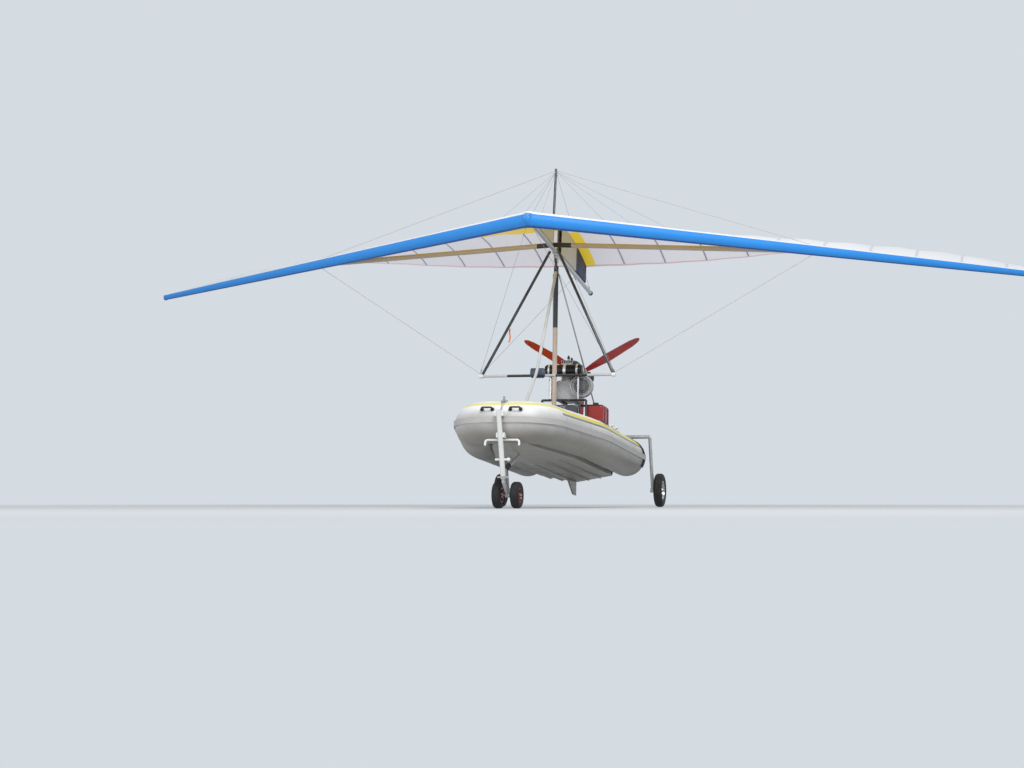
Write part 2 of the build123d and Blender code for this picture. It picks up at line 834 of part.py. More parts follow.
def cylinder_at(y):
    """One air-cooled cylinder with round-cornered fins, its finned head and the spark plug with its cap."""
    shape = Pos(0, y, crankcase_top) * Cylinder(bore_radius, cylinder_height + head_height, align=on_base)
    pitch = cylinder_height / fin_count
    fin = extrude(RectangleRounded(fin_side, fin_side, fin_corner), amount=pitch * fin_share)
    for row in range(fin_count):
        shape = shape + Pos(0, y, crankcase_top + (row + 1 - fin_share) * pitch) * fin
    head = extrude(RectangleRounded(fin_side, fin_side, fin_corner), amount=head_height / 3)
    shape = shape + Pos(0, y, crankcase_top + cylinder_height) * head
    for row in range(head_fin_count):
        out = (row - (head_fin_count - 1) / 2) * fin_side / head_fin_count
        level = (crankcase_top + cylinder_height, head_top)
        shape = shape + block(reach_of(out, head_rib / 2), reach_of(y, fin_side / 2), level)
    plug = Pos(0, y, head_top) * Cylinder(plug_radius, plug_height, align=on_base)
    return shape + plug


def cylinders():
    """Both cylinders, standing apart."""
    return Compound(children=[cylinder_at(y) for y in cylinder_places])


def cooling_shroud():
    """The black air duct from the fan along the port side of both cylinders."""
    inner = fin_side / 2 + seat_gap
    duct = block(
        (inner, inner + shroud_depth),
        (crankcase_front, cylinder_places[1] + fin_side / 2),
        (crankcase_top + seat_gap, head_top - head_height / 3),
    )
    return fillet(duct.faces().sort_by(Axis.X)[-1].edges(), shroud_corner)


def carburettor(y):
    """One carburettor on the duct's face: throat, float bowl and its round filter."""
    face = fin_side / 2 + 2 * seat_gap + shroud_depth
    middle = face + throat_length / 2
    throat = cross_rod(y, intake_height, throat_length / 2, throat_radius, middle)
    bowl = rod((middle, y, intake_height - bowl_drop), (middle, y, intake_height), bowl_radius)
    cap = rod((middle, y, intake_height), (middle, y, intake_height + bowl_drop), bowl_radius * 0.7)
    body_middle = face + throat_length + filter_length / 2
    body = cross_rod(y, intake_height, filter_length / 2, filter_radius, body_middle)
    body = fillet(body.edges().sort_by(Axis.X)[-1], filter_radius / 4)
    return throat + bowl + cap + body


def fan_housing():
    """The round light housing on the engine's front, to port: ring wall, recessed grille and cup."""
    drum = Cylinder(fan_radius, fan_depth, align=on_base)
    drum = fillet(drum.edges().sort_by(Axis.Z)[-1], fan_lip / 2)
    well = Pos(0, 0, fan_depth - fan_lip) * Cylinder(fan_radius - fan_lip, 2 * fan_lip, align=on_base)
    cup = Cylinder(fan_radius * 0.42, fan_depth - fan_lip / 3, align=on_base)
    housing = drum - well + cup
    for ring in (0.56, 0.72):
        outer = Cylinder(fan_radius * ring + fan_rib / 2, fan_depth - fan_lip / 2, align=on_base)
        housing = housing + (outer - Cylinder(fan_radius * ring - fan_rib / 2, 2 * fan_depth, align=on_base))
    spoke = block((0, fan_radius - fan_lip / 2), reach_of(0, fan_rib / 2), (0, fan_depth - fan_lip / 2))
    for index in range(fan_spokes):
        housing = housing + Rot(0, 0, index * 360 / fan_spokes) * spoke
    return Pos(fan_offset, crankcase_front - seat_gap, crank_height + fan_height) * (Rot(90, 0, 0) * housing)


def muffler():
    """The cross-mounted silencer drum with round ends and bands, on straps from the front cross tube."""
    place = (muffler_aft, muffler_height)
    drum = cross_rod(*place, muffler_length / 2, muffler_radius)
    drum = fillet(drum.edges().filter_by(GeomType.CIRCLE), muffler_dome)
    level = (bearer_height + cross_tube_radius + seat_gap, muffler_height)
    for x in (-muffler_band_out, muffler_band_out):
        drum = drum + cross_rod(*place, band_width / 2, muffler_radius + band_proud, x)
        drum = drum + block(reach_of(x, band_width), reach_of(frame_front, band_proud), level)
    return drum


def exhaust_pipes():
    """The manifold from both cylinders' starboard side to the silencer."""
    first, second = cylinder_places
    face = fin_side / 2 + seat_gap
    run_x = -face - pipe_out
    turn_y = first - 3 * pipe_radius
    corners = [
        (-face, second, port_height),
        (run_x, second, port_height),
        (run_x, turn_y, port_height),
        (run_x, muffler_aft, muffler_height),
    ]
    main = bent_bar(corners, pipe_radius, 1.5 * pipe_radius)
    branch = rod((-face, first, port_height), (run_x - pipe_radius / 5, first, port_height), branch_radius)
    shape = main + branch - cross_rod(muffler_aft, muffler_height, muffler_length, muffler_radius + seat_gap)
    for y in cylinder_places:
        shape = shape + cross_rod(y, port_height, flange_proud / 2, 1.6 * pipe_radius, -face - flange_proud / 2)
    return shape


def reduction_drive():
    """The belt drive that raises the propeller shaft above the crank, with its belt guard and shaft."""
    y = crankcase_front + crankcase_length
    back = y + pulley_width
    shape = block(reach_of(0, small_pulley_radius * 0.8), (y, back), (crank_height, propeller_height))
    for radius, level in ((small_pulley_radius, crank_height), (large_pulley_radius, propeller_height)):
        shape = shape + long_rod(y, back, level, radius)
        shape = shape + long_rod(back, back + flange_proud, level, radius * 0.55)
    return shape + long_rod(back, propeller_aft + hub_length, propeller_height, shaft_radius)


def fuel_tank():
    """The red tank on the port side, with its filler cap."""
    across = (tank_out - tank_width, tank_out)
    along = (tank_front, tank_front + tank_length)
    tank = fillet(block(across, along, (tank_low, tank_low + tank_height)).edges(), tank_corner)
    cap_place = Pos(tank_out - tank_width / 2, tank_front + 2 * tank_corner, tank_low + tank_height)
    return tank + cap_place * Cylinder(tank_cap_radius, tank_cap_height, align=on_base)


def propeller_hub():
    """The two-plate hub on its shaft."""
    hub = long_rod(*reach_of(propeller_aft, hub_length / 2), propeller_height, hub_radius)
    return hub - long_rod(*reach_of(propeller_aft, hub_length), propeller_height, shaft_radius + run_gap)


# Blade sections from the root out, in shares of the radius: place, chord and thickness, and pitch in degrees
blade_sections = [
    {"out": 0.07, "chord": 0.060, "thick": 0.036, "pitch": 38},
    {"out": 0.22, "chord": 0.095, "thick": 0.026, "pitch": 31},
    {"out": 0.45, "chord": 0.130, "thick": 0.018, "pitch": 24},
    {"out": 0.85, "chord": 0.100, "thick": 0.010, "pitch": 14},
    {"out": 1.00, "chord": 0.055, "thick": 0.006, "pitch": 12},
]


def blade():
    """One twisted blade, lofted along its length, standing straight up from the hub."""
    faces = []
    for section in blade_sections:
        half = section["chord"] * propeller_radius / 2
        thick = section["thick"] * propeller_radius / 2
        over = ThreePointArc((-half, 0), (0, thick), (half, 0))
        under = ThreePointArc((half, 0), (0, -thick * 0.4), (-half, 0))
        place = Pos(0, 0, section["out"] * propeller_radius) * Rot(0, 0, section["pitch"])
        faces.append(place * make_face([over, under]))
    return loft(faces, ruled=True)


def propeller_blades():
    """All blades round the hub, each cut off clear of it."""
    core = long_rod(*reach_of(0, hub_radius), 0, hub_radius + seat_gap)
    place = Pos(0, propeller_aft, propeller_height)
    one = blade() - core
    turns = [90 - blade_first_angle - index * 360 / blade_count for index in range(blade_count)]
    return Compound(children=[place * (Rot(0, turn, 0) * one) for turn in turns])


# Wing, in the wing frame


def edge_at(x):
    """Where the leading edge lies at a distance out from the keel, and how thick and deep it is there."""
    share = (x - root_gap) / (half_span - root_gap)
    y = edge_root_y + share * (edge_tip_y - edge_root_y)
    radius = edge_root_radius + share * (edge_tip_radius - edge_root_radius)
    depth = edge_root_depth + share * (edge_tip_depth - edge_root_depth)
    return y, radius, depth


# Sail stations from the root out: distance from the keel, height of the sail's front, its peak and its
# trailing edge above the keel's centre, and how far aft the trailing edge lies
sail_stations = [
    {"x": x, "front": front, "peak": peak, "back": back, "aft": aft}
    for x, front, peak, back, aft in zip(
        (root_gap, half_span / 2, half_span), front_heights, peak_heights, back_heights, back_places
    )
]


def front_height(x):
    """Height of the sail's front edge, between the stations."""
    for inner, outer in zip(sail_stations, sail_stations[1:]):
        if x <= outer["x"]:
            share = (x - inner["x"]) / (outer["x"] - inner["x"])
            return inner["front"] + share * (outer["front"] - inner["front"])
    return sail_stations[-1]["front"]


def edge_section(x, grow):
    """The rounded nose of the wing and its flanks, closing on the sail's front."""
    y, radius, depth = edge_at(x)
    high = front_height(x)
    half = sail_thickness / 2 + grow
    nose, back = y + radius, y + depth
    top, low = (x, nose, radius + grow), (x, nose, -radius - grow)
    return make_face(
        [
            ThreePointArc(top, (x, y - grow, 0), low),
            Polyline(low, (x, back, high - half), (x, back, high + half), top),
        ]
    )


def leading_edge(grow=0):
    """The port leading edge: a padded pocket round its tube, tapering to the tip."""
    return loft([edge_section(s["x"], grow) for s in sail_stations], ruled=True)


def sail_arcs(station, grow=0):
    """The upper and lower arc of the sail at a station, from its front to its trailing edge."""
    x = station["x"]
    y, radius, depth = edge_at(x)
    front = y + depth + seat_gap
    peak = front + 0.35 * (station["aft"] - front)
    half = sail_thickness / 2
    tail = sail_thickness / 4
    end = (station["aft"], station["back"], tail)
    places = [(front, station["front"], half), (peak, station["peak"], half), end]
    upper = ThreePointArc(*[(x, y, z + thick) for y, z, thick in places])
    lower = ThreePointArc(*[(x, y, z - thick) for y, z, thick in reversed(places)])
    return upper, lower


def sail():
    """The port half of the sail, one cloth with camber that fades to the tip."""
    faces = []
    for station in sail_stations:
        upper, lower = sail_arcs(station)
        faces.append(make_face([upper, Line(upper @ 1, lower @ 0), lower, Line(lower @ 1, upper @ 0)]))
    return loft(faces, ruled=True)


def keel_pocket():
    """The deep cloth pocket between keel tube and sail, open round the hang block and king post."""
    upper, lower = sail_arcs(sail_stations[0])
    start, end = upper @ 0, upper @ 1
    floor = keel_radius + seat_gap
    face = make_face([upper, Polyline(end, (end.X, end.Y, floor), (start.X, start.Y, floor), start)])
    body = Pos(-root_gap, 0, 0) * extrude(face, amount=pocket_half_width, both=True, dir=(1, 0, 0))
    opening = (king_post_station - pocket_gap_ahead, hang_station + pocket_gap_behind)
    gap = block((-2 * pocket_half_width, 2 * pocket_half_width), opening, (0, king_post_height))
    return Compound(children=list((body - gap).solids()))


def keel_tube():
    """The keel tube with its end cap."""
    end = keel_length - keel_cap_length
    return long_rod(0, end, 0, keel_radius) + long_rod(end, keel_length, 0, keel_radius + keel_cap_proud)


def nose_plate():
    """The plate on the keel's nose that joins the leading edges to it."""
    wide = root_gap - seat_gap
    low = keel_radius + seat_gap
    return block(reach_of(0, wide), (0, nose_plate_length), (low, low + nose_plate_thickness))


def crossbar(fat_edge):
    """The port cross bar tube from the keel to the leading edge."""
    y, radius, depth = edge_at(crossbar_span)
    start = (0, crossbar_station, keel_radius + crossbar_radius + seat_gap)
    end = (crossbar_span, y + depth * 0.4, 0)
    return rod(start, end, crossbar_radius) - fat_edge


def king_post():
    """The post above the keel that carries the upper wires."""
    top = (0, king_post_station + king_post_rake, king_post_height)
    post = rod((0, king_post_station, 0), top, king_post_radius)
    return post - long_rod(0, keel_length, 0, keel_radius + seat_gap)


control_y = hang_station - control_ahead
control_z = -control_drop


def corner_fitting(grow=0):
    """The port corner of the control frame."""
    return cross_rod(control_y, control_z, corner_half_width + grow, corner_radius + grow, control_half_width)


def upright():
    """The port upright from the keel's side to the corner."""
    top = (keel_radius + 1.5 * upright_radius, apex_station, -keel_radius / 2)
    shape = rod(top, (control_half_width, control_y, control_z), upright_radius) - corner_fitting(seat_gap)
    shape = shape - cross_rod(control_y, control_z, control_half_width, base_bar_radius + seat_gap)
    return shape.solids().sort_by(SortBy.VOLUME)[-1]


def base_bar():
    """The bar that the pilot holds."""
    reach = control_half_width - corner_half_width - seat_gap
    return cross_rod(control_y, control_z, reach, base_bar_radius)


def side_wires(fat_edge):
    """The lower and upper wire on the port side, both to where the cross bar meets the leading edge."""
    x = crossbar_span - 2 * crossbar_radius
    y, radius, depth = edge_at(x)
    corner = (control_half_width + corner_half_width / 2, control_y, control_z + corner_radius + wire_radius)
    share = 1 - king_post_radius / king_post_height * 2
    post_y = king_post_station + king_post_rake * share
    post_head = (king_post_radius + wire_radius, post_y, king_post_height * share)
    lower = rod(corner, (x, y + radius, -radius), wire_radius) - fat_edge
    upper = rod(post_head, (x, y + radius, radius), wire_radius) - fat_edge
    return [lower, upper]


def hang_block():
    """The block that rolls on the keel tube and pitches on the pin through the mast's tongue."""
    near = tongue_half_width + cheek_gap
    far = near + cheek_thickness
    sleeve = long_rod(*reach_of(hang_station, hang_sleeve_length / 2), 0, keel_radius + hang_sleeve_wall)
    bore = long_rod(*reach_of(hang_station, hang_sleeve_length), 0, keel_radius + run_gap)
    cheek = block((near, far), reach_of(hang_station, tongue_half_length), (-hang_drop - tongue_half_length, 0))
    pin = cross_rod(hang_station, -hang_drop, far + hang_pin_radius, hang_pin_radius)
    return sleeve + cheek + mirror(cheek, Plane.YZ) - bore + pin


# All nodes by name


def boat_nodes():
    """The pieces that are drawn in the boat frame."""
    fat = collar(seat_gap)
    bottom = hull_bottom(fat)
    front_place = (front_seat_aft, front_seat_height)
    rear_place = (rear_seat_aft, rear_seat_height)
    nodes = {
        "air_collar": collar(),
        "rub_strake": rub_strake(fat),
        "hull_bottom": bottom,
        "deck": deck(fat),
        "transom": transom(fat),
        "skeg": skeg(),
        "bow_handles": Compound(children=[bow_handle(-handle_out), bow_handle(handle_out)]),
        "bow_rail": bow_rail(),
        "tube_fittings": tube_fittings(),
        "nose_head_tube": head_tube(fat),
        "nose_drag_strut": drag_strut(bottom),
        "tow_eye": tow_eye(),
        "stern_eyes": stern_eyes(),
        "gear_beam": gear_beam(fat),
        "gear_legs": mirrored(gear_leg()),
        "nose_fork": nose_fork(),
        "floor_beam": floor_beam(),
        "mast": mast(),
        "front_strut": front_strut(),
        "rear_stays": mirrored(rear_stay()),
        "front_seat": seat(*front_place),
        "rear_seat": seat(*rear_place),
        "instrument_pod": instrument_pod(),
        "seat_stands": Compound(children=[seat_stand(*front_place), seat_stand(*rear_place)]),
        "exhaust_pipes": exhaust_pipes(),
        "engine_mount": engine_mount(),
        "crankcase": crankcase(),
        "cylinders": cylinders(),
        "cooling_shroud": cooling_shroud(),
        "carburettors": Compound(children=[carburettor(y) for y in cylinder_places]),
        "fan_housing": fan_housing(),
        "muffler": muffler(),
        "reduction_drive": reduction_drive(),
        "fuel_tank": fuel_tank(),
        "propeller_hub": propeller_hub(),
        "propeller_blades": propeller_blades(),
    }
    place = (nose_wheel_spacing / 2, *nose_axle[1:])
    nodes["nose_tyres"] = mirrored(wheel_tyre(*place, nose_wheel_radius, nose_tyre_width, nose_rim_radius))
    nodes["nose_rims"] = mirrored(wheel_rim(*place, nose_tyre_width, nose_rim_radius, nose_axle_radius))
    for name, side in (("port", 1), ("starboard", -1)):
        place = (side * wheel_out, main_axle_aft, -main_axle_depth)
        nodes["main_tyre_" + name] = wheel_tyre(*place, main_wheel_radius, main_tyre_width, main_rim_radius)
        nodes["main_rim_" + name] = wheel_rim(*place, main_tyre_width, main_rim_radius, main_axle_radius)
    return nodes


def wing_nodes():
    """The pieces that are drawn in the wing frame."""
    edge = leading_edge()
    fat_edge = leading_edge(seat_gap)
    half_sail = sail()
    bar = crossbar(fat_edge)
    wires = side_wires(fat_edge)
    return {
        "keel_tube": keel_tube(),
        "nose_plate": nose_plate(),
        "leading_edge_port": edge,
        "leading_edge_starboard": mirror(edge, Plane.YZ),
        "sail_port": half_sail,
        "sail_starboard": mirror(half_sail, Plane.YZ),
        "keel_pocket": keel_pocket(),
        "crossbar": bar + mirror(bar, Plane.YZ),
        "king_post": king_post(),
        "uprights": mirrored(upright()),
        "corner_fittings": mirrored(corner_fitting()),
        "base_bar": base_bar(),
        "side_wires": Compound(children=wires + [mirror(wire, Plane.YZ) for wire in wires]),
        "hang_block": hang_block(),
    }


def solids_only(shape):
    """The shape as one solid, or as a compound of its solids."""
    solids = list(shape.solids())
    return solids[0] if len(solids) == 1 else Compound(children=solids)


nodes = {name: solids_only(shape) for name, shape in boat_nodes().items()}
nodes.update({name: solids_only(wing_place * shape) for name, shape in wing_nodes().items()})

# Stand it on its wheels, with the middle of its box over the origin

stand = Location((0, 0, park_lift)) * Location((0, 0, 0), (park_turn, 0, 0))
nodes = {name: stand * shape for name, shape in nodes.items()}
boxes = [shape.bounding_box() for shape in nodes.values()]
middle_y = (min(box.min.Y for box in boxes) + max(box.max.Y for box in boxes)) / 2
centring = Location((0, -middle_y, 0))
nodes = {name: centring * shape for name, shape in nodes.items()}

os.makedirs("parts", exist_ok=True)
for name, shape in nodes.items():
    export_step(shape, f"parts/{name}.step")
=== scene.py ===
"""A flying inflatable boat, parked on its wheels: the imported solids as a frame, dressed as the real thing.

All lengths are metres. X is to port, Y aft and Z up, and the wheels stand on Z = 0. Two frames of the
object are used for drawing: the boat's, with Y aft from the bow's front and Z up from the line of the tube
tops, and the wing's, with Y aft along the keel tube from its nose.
"""

import bmesh
import bpy
import numpy as np
from mathutils import Matrix, Vector


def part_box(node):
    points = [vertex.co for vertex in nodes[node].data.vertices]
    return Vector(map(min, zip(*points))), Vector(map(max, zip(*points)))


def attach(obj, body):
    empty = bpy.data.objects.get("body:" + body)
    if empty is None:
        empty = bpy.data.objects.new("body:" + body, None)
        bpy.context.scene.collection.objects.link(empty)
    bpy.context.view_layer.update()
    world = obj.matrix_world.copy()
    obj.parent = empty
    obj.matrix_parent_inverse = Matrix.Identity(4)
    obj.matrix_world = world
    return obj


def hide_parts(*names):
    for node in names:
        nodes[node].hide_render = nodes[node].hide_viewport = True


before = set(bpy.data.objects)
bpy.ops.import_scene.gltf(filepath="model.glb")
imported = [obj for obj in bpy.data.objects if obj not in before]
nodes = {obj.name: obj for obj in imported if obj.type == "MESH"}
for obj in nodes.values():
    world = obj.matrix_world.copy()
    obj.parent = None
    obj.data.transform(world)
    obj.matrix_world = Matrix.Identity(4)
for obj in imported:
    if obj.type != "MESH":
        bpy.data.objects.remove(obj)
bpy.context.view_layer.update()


# Camera, floor and light
# The camera stands at floor level, ahead of the bow and to port, where the photograph was taken from.
# The floor is a plain pale sheet, and two large soft lamps hang over and before the wing.

camera_turn = np.radians(14.0)
camera_height = 0.12
camera_distance = 24.0
camera_tilt = np.radians(3.03)
look_at = (-0.407, -0.102)
lens_pixels = 2135
picture_width = 1024
sensor_width = 36


def placed(name, data):
    """A new object of the scene."""
    made = bpy.data.objects.new(name, data)
    bpy.context.scene.collection.objects.link(made)
    return made


camera_data = bpy.data.cameras.new("camera")
camera_data.sensor_width = sensor_width
camera_data.lens = sensor_width * lens_pixels / picture_width
camera = placed("camera", camera_data)
camera.matrix_world = (
    Matrix.Translation((look_at[0], look_at[1], camera_height))
    @ Matrix.Rotation(camera_turn, 4, "Z")
    @ Matrix.Translation((0, -camera_distance, 0))
    @ Matrix.Rotation(np.pi / 2 + camera_tilt, 4, "X")
)
bpy.context.scene.camera = camera
bpy.context.scene.view_settings.view_transform = "Standard"


class Field:
    """A value, colour or direction that varies over a surface. Each arithmetic sign adds one Math node."""

    def __init__(self, socket):
        self.socket = socket

    def maths(self, operation, *values):
        """The result of a Math node of this operation on the values."""
        tree = self.socket.id_data
        made = tree.nodes.new("ShaderNodeMath")
        made.operation = operation
        for port, value in zip(made.inputs, values):
            feed(tree, port, value)
        return Field(made.outputs[0])

    def sign(operation):
        """The method for a sign that stands for this operation."""
        return lambda self, other: self.maths(operation, self, other)

    __add__ = __radd__ = sign("ADD")
    __sub__ = sign("SUBTRACT")
    __mul__ = __rmul__ = sign("MULTIPLY")
    __truediv__ = sign("DIVIDE")
    __pow__ = sign("POWER")
    __gt__ = sign("GREATER_THAN")
    __lt__ = sign("LESS_THAN")
    either = sign("MAXIMUM")

    def __abs__(self):
        return self.maths("ABSOLUTE", self)

    def repeat(self, pitch):
        """The distance from the nearest multiple of the pitch, as a share of the pitch from 0 to 0.5."""
        return self.maths("PINGPONG", self / pitch, 0.5)


def feed(tree, port, value):
    """Gives a socket a value, or links it to a field."""
    if isinstance(value, Field):
        tree.links.new(value.socket, port)
    elif port.type == "RGBA":
        port.default_value = (*value, 1) if len(value) == 3 else value
    else:
        port.default_value = value


class Finish:
    """A material in the making. What is the same all over goes straight on the shader's own sockets."""

    def __init__(self, name, **fixed):
        self.material = bpy.data.materials.new(name)
        self.material.use_nodes = True
        self.tree = self.material.node_tree
        self.shader = self.tree.nodes["Principled BSDF"]
        self.wear(**fixed)

    def node(self, kind, settings={}, **sockets):
        """Adds a node of this kind: its settings first, and then a value or a field for each socket named."""
        made = self.tree.nodes.new("ShaderNode" + kind)
        for name, value in settings.items():
            setattr(made, name, value)
        for name, value in sockets.items():
            port = made.inputs[int(name[1:])] if name[0] == "_" else made.inputs[name.replace("_", " ")]
            feed(self.tree, port, value)
        return made

    def place(self, stretch=(1, 1, 1)):
        """The point on the object, stretched by a Mapping node."""
        point = Field(self.node("TexCoord").outputs["Object"])
        return Field(self.node("Mapping", Vector=point, Scale=stretch).outputs[0])

    def axis(self, which):
        """One coordinate of the point on the object."""
        point = Field(self.node("TexCoord").outputs["Object"])
        return Field(self.node("SeparateXYZ", Vector=point).outputs[which])

    def mark(self, name):
        """A value that the mesh carries at each vertex."""
        return Field(self.node("Attribute", {"attribute_name": name}).outputs["Fac"])

    def noise(self, scale, detail=3.0, rough=0.55, place=None):
        """Soft cloudy values between 0 and 1, with this many to the metre."""
        place = place or self.place()
        made = self.node("TexNoise", Vector=place, Scale=scale, Detail=detail, Roughness=rough)
        return Field(made.outputs["Fac"])

    def between(self, value, low, high, to_low=0.0, to_high=1.0):
        """The value carried smoothly from one range to another, and held at both ends."""
        ends = {"From_Min": low, "From_Max": high, "To_Min": to_low, "To_Max": to_high}
        made = self.node("MapRange", {"interpolation_type": "SMOOTHSTEP"}, Value=value, **ends)
        return Field(made.outputs[0])

    def dull(self, cloud, low, high):
        """A roughness between two values that follows the clouds."""
        return self.between(cloud, 0.3, 0.7, low, high)

    def mix(self, share, low, high):
        """The first colour where the share is 0 and the second where it is 1."""
        made = self.node("Mix", {"data_type": "RGBA"}, _0=share, _6=low, _7=high)
        return Field(made.outputs[2])

    def bump(self, height, depth):
        """A normal that tilts with a height in shares of the depth, in metres."""
        return Field(self.node("Bump", Height=height, Distance=depth, Strength=1.0).outputs[0])

    def wear(self, **values):
        """Feeds the shader's sockets and gives back the material."""
        for socket, value in values.items():
            feed(self.tree, self.shader.inputs[socket.replace("_", " ").title()], value)
        return self.material

    def coat(self, cloud, low, high, rough, part=0.0, other=(0, 0, 0), **values):
        """Wears two shades in clouds, another colour on a part, and roughness that follows the clouds."""
        shade = self.mix(cloud, low, high)
        if part:
            shade = self.mix(part, shade, other)
        return self.wear(base_color=shade, roughness=self.dull(cloud, *rough), **values)


def worn(name, low, high, scale=3.0, rough=(0.35, 0.55), grain=0.0002, grain_scale=160.0, **fixed):
    """A finish of one substance: two close shades in clouds, roughness that follows, and a fine grain."""
    finish = Finish(name, **fixed)
    cloud = finish.noise(scale, 5, 0.6)
    fine = finish.noise(grain_scale, 2, 0.5)
    shade = finish.mix(finish.between(cloud, 0.32, 0.68), low, high)
    smooth = finish.between(cloud + fine * 0.2, 0.4, 0.8, *rough)
    return finish.wear(base_color=shade, roughness=smooth, normal=finish.bump(fine, grain))


def paint(material, *names):
    """Gives CAD nodes this material in place of their own."""
    for name in names:
        nodes[name].data.materials.clear()
        nodes[name].data.materials.append(material)


def seen_directly(tree):
    """1 where the camera sees a surface itself, in a mirror or through glass, and 0 for the light that falls
    on other things from it."""
    path = tree.nodes.new("ShaderNodeLightPath")
    rays = ("Camera", "Glossy", "Transmission")
    direct, mirrored, through = (Field(path.outputs[f"Is {ray} Ray"]) for ray in rays)
    return direct.either(mirrored + through)


backdrop_colour = (0.66, 0.71, 0.76, 1)
sky_light = (0.92, 0.96, 1.0, 1)
sky_strength = 0.58
floor_half = 60
floor_colour = (0.56, 0.57, 0.58)
floor_second = (0.60, 0.61, 0.62)


def mixed(tree, end, usual, seen, share):
    """Joins two shaders at a tree's end by the share of the second."""
    chosen = tree.nodes.new("ShaderNodeMixShader")
    for port, source in zip(chosen.inputs, (share.socket, usual.outputs[0], seen.outputs[0])):
        tree.links.new(source, port)
    tree.links.new(chosen.outputs[0], tree.nodes[end].inputs["Surface"])


world = bpy.data.worlds.new("studio")
bpy.context.scene.world = world
world.use_nodes = True
sky = world.node_tree
sky.nodes["Background"].inputs["Color"].default_value = sky_light
sky.nodes["Background"].inputs["Strength"].default_value = sky_strength
backdrop = sky.nodes.new("ShaderNodeBackground")
backdrop.inputs["Color"].default_value = backdrop_colour
mixed(sky, "World Output", sky.nodes["Background"], backdrop, seen_directly(sky))

floor_finish = Finish("studio_floor", roughness=0.9)
floor_finish.wear(base_color=floor_finish.mix(floor_finish.noise(0.6), floor_colour, floor_second))
floor_radius = (floor_finish.axis("X") ** 2 + floor_finish.axis("Y") ** 2) ** 0.5
floor_share = seen_directly(floor_finish.tree) * floor_finish.between(floor_radius, 4.0, 16.0, 0.35, 1.0)
floor_glow = floor_finish.node("Emission", Color=backdrop_colour)
mixed(floor_finish.tree, "Material Output", floor_finish.shader, floor_glow, floor_share)
floor_mesh = bpy.data.meshes.new("floor")
floor_corners = [(x * floor_half, y * floor_half, 0) for x, y in ((-1, -1), (1, -1), (1, 1), (-1, 1))]
floor_mesh.from_pydata(floor_corners, [], [(0, 1, 2, 3)])
floor_mesh.materials.append(floor_finish.material)
floor = placed("floor", floor_mesh)


def soft_lamp(name, place, aim, width, power):
    """A square area lamp that faces a point."""
    data = bpy.data.lights.new(name, "AREA")
    data.size = width
    data.energy = power
    lamp = placed(name, data)
    lamp.location = place
    lamp.rotation_euler = (Vector(aim) - Vector(place)).to_track_quat("-Z", "Y").to_euler()


soft_lamp("key_lamp", (5.0, -9.0, 11.0), (0, 0, 1.5), 6, 1250)
soft_lamp("front_lamp", (-7.0, -12.0, 2.2), (0, 0, 1.8), 5, 420)


# Inflated collar
# One U-shaped tube of coated fabric, blown up tight, with a cone at each stern end. It is glued up from
# panels under flat tapes, and a yellow and a navy band are glued along each flank. Light is painted into its
# colour: a warm painted shade on the underside, a painted highlight along the top, and a paler yellow band
# round the bow as a painted highlight.

boat_turn = np.radians(-4.578533)
boat_aft = -2.206982
boat_up = 1.097840
tube_side = 0.60
tube_radius = 0.22
tube_up = -0.22
bow_up = -0.19
bow_aft = 0.22
tape_lift = 0.0012
tape_pitch = 0.62
cone_start = 3.70
boat_length = 4.20
cone_tip = 0.09


def from_boat(points):
    """Points of the boat's frame in the row's: turned about X by the parking angle, then moved aft and up."""
    x, y, z = np.moveaxis(np.asarray(points, float), -1, 0)
    c, s = np.cos(boat_turn), np.sin(boat_turn)
    return np.stack([x, y * c - z * s + boat_aft, y * s + z * c + boat_up], -1)


def rounded_path(corners, bends, step):
    """Points along straight runs joined by arcs. Each arc leaves its corner by the bend radius times the
    tangent of half the turn, and its points are the corner's two directions weighted by sine and cosine."""
    corners = np.asarray(corners, float)
    runs = [corners[:1]]
    for before, corner, after, bend in zip(corners, corners[1:], corners[2:], bends):
        come = (corner - before) / np.linalg.norm(corner - before)
        go = (after - corner) / np.linalg.norm(after - corner)
        turn = np.arccos(np.clip(come @ go, -1, 1))
        start = corner - come * bend * np.tan(turn / 2)
        across = (go - come * np.cos(turn)) / np.sin(turn)
        angle = np.linspace(0, turn, max(4, int(bend * turn / step) + 2))[:, None]
        runs.append(start + bend * (come * np.sin(angle) + across * (1 - np.cos(angle))))
    runs.append(corners[-1:])
    line = np.concatenate(runs)
    gone = np.concatenate([[0], np.cumsum(np.linalg.norm(np.diff(line, axis=0), axis=1))])
    even = np.linspace(0, gone[-1], max(2, int(gone[-1] / step) + 1))
    return np.stack([np.interp(even, gone, line[:, axis]) for axis in range(3)], -1)


def length_along(path):
    """The distance gone from the path's start at each of its points."""
    return np.concatenate([[0], np.cumsum(np.linalg.norm(np.diff(path, axis=0), axis=1))])


def frames_along(path, up):
    """At each point of a path: its direction, the side direction square to it and to the given up, and the
    direction square to both."""
    ahead = np.gradient(path, axis=0)
    ahead /= np.linalg.norm(ahead, axis=1, keepdims=True)
    side = np.cross(ahead, np.broadcast_to(np.asarray(up, float), path.shape))
    side /= np.linalg.norm(side, axis=1, keepdims=True)
    return ahead, side, np.cross(side, ahead)


flanks = (("port", 1), ("starboard", -1))


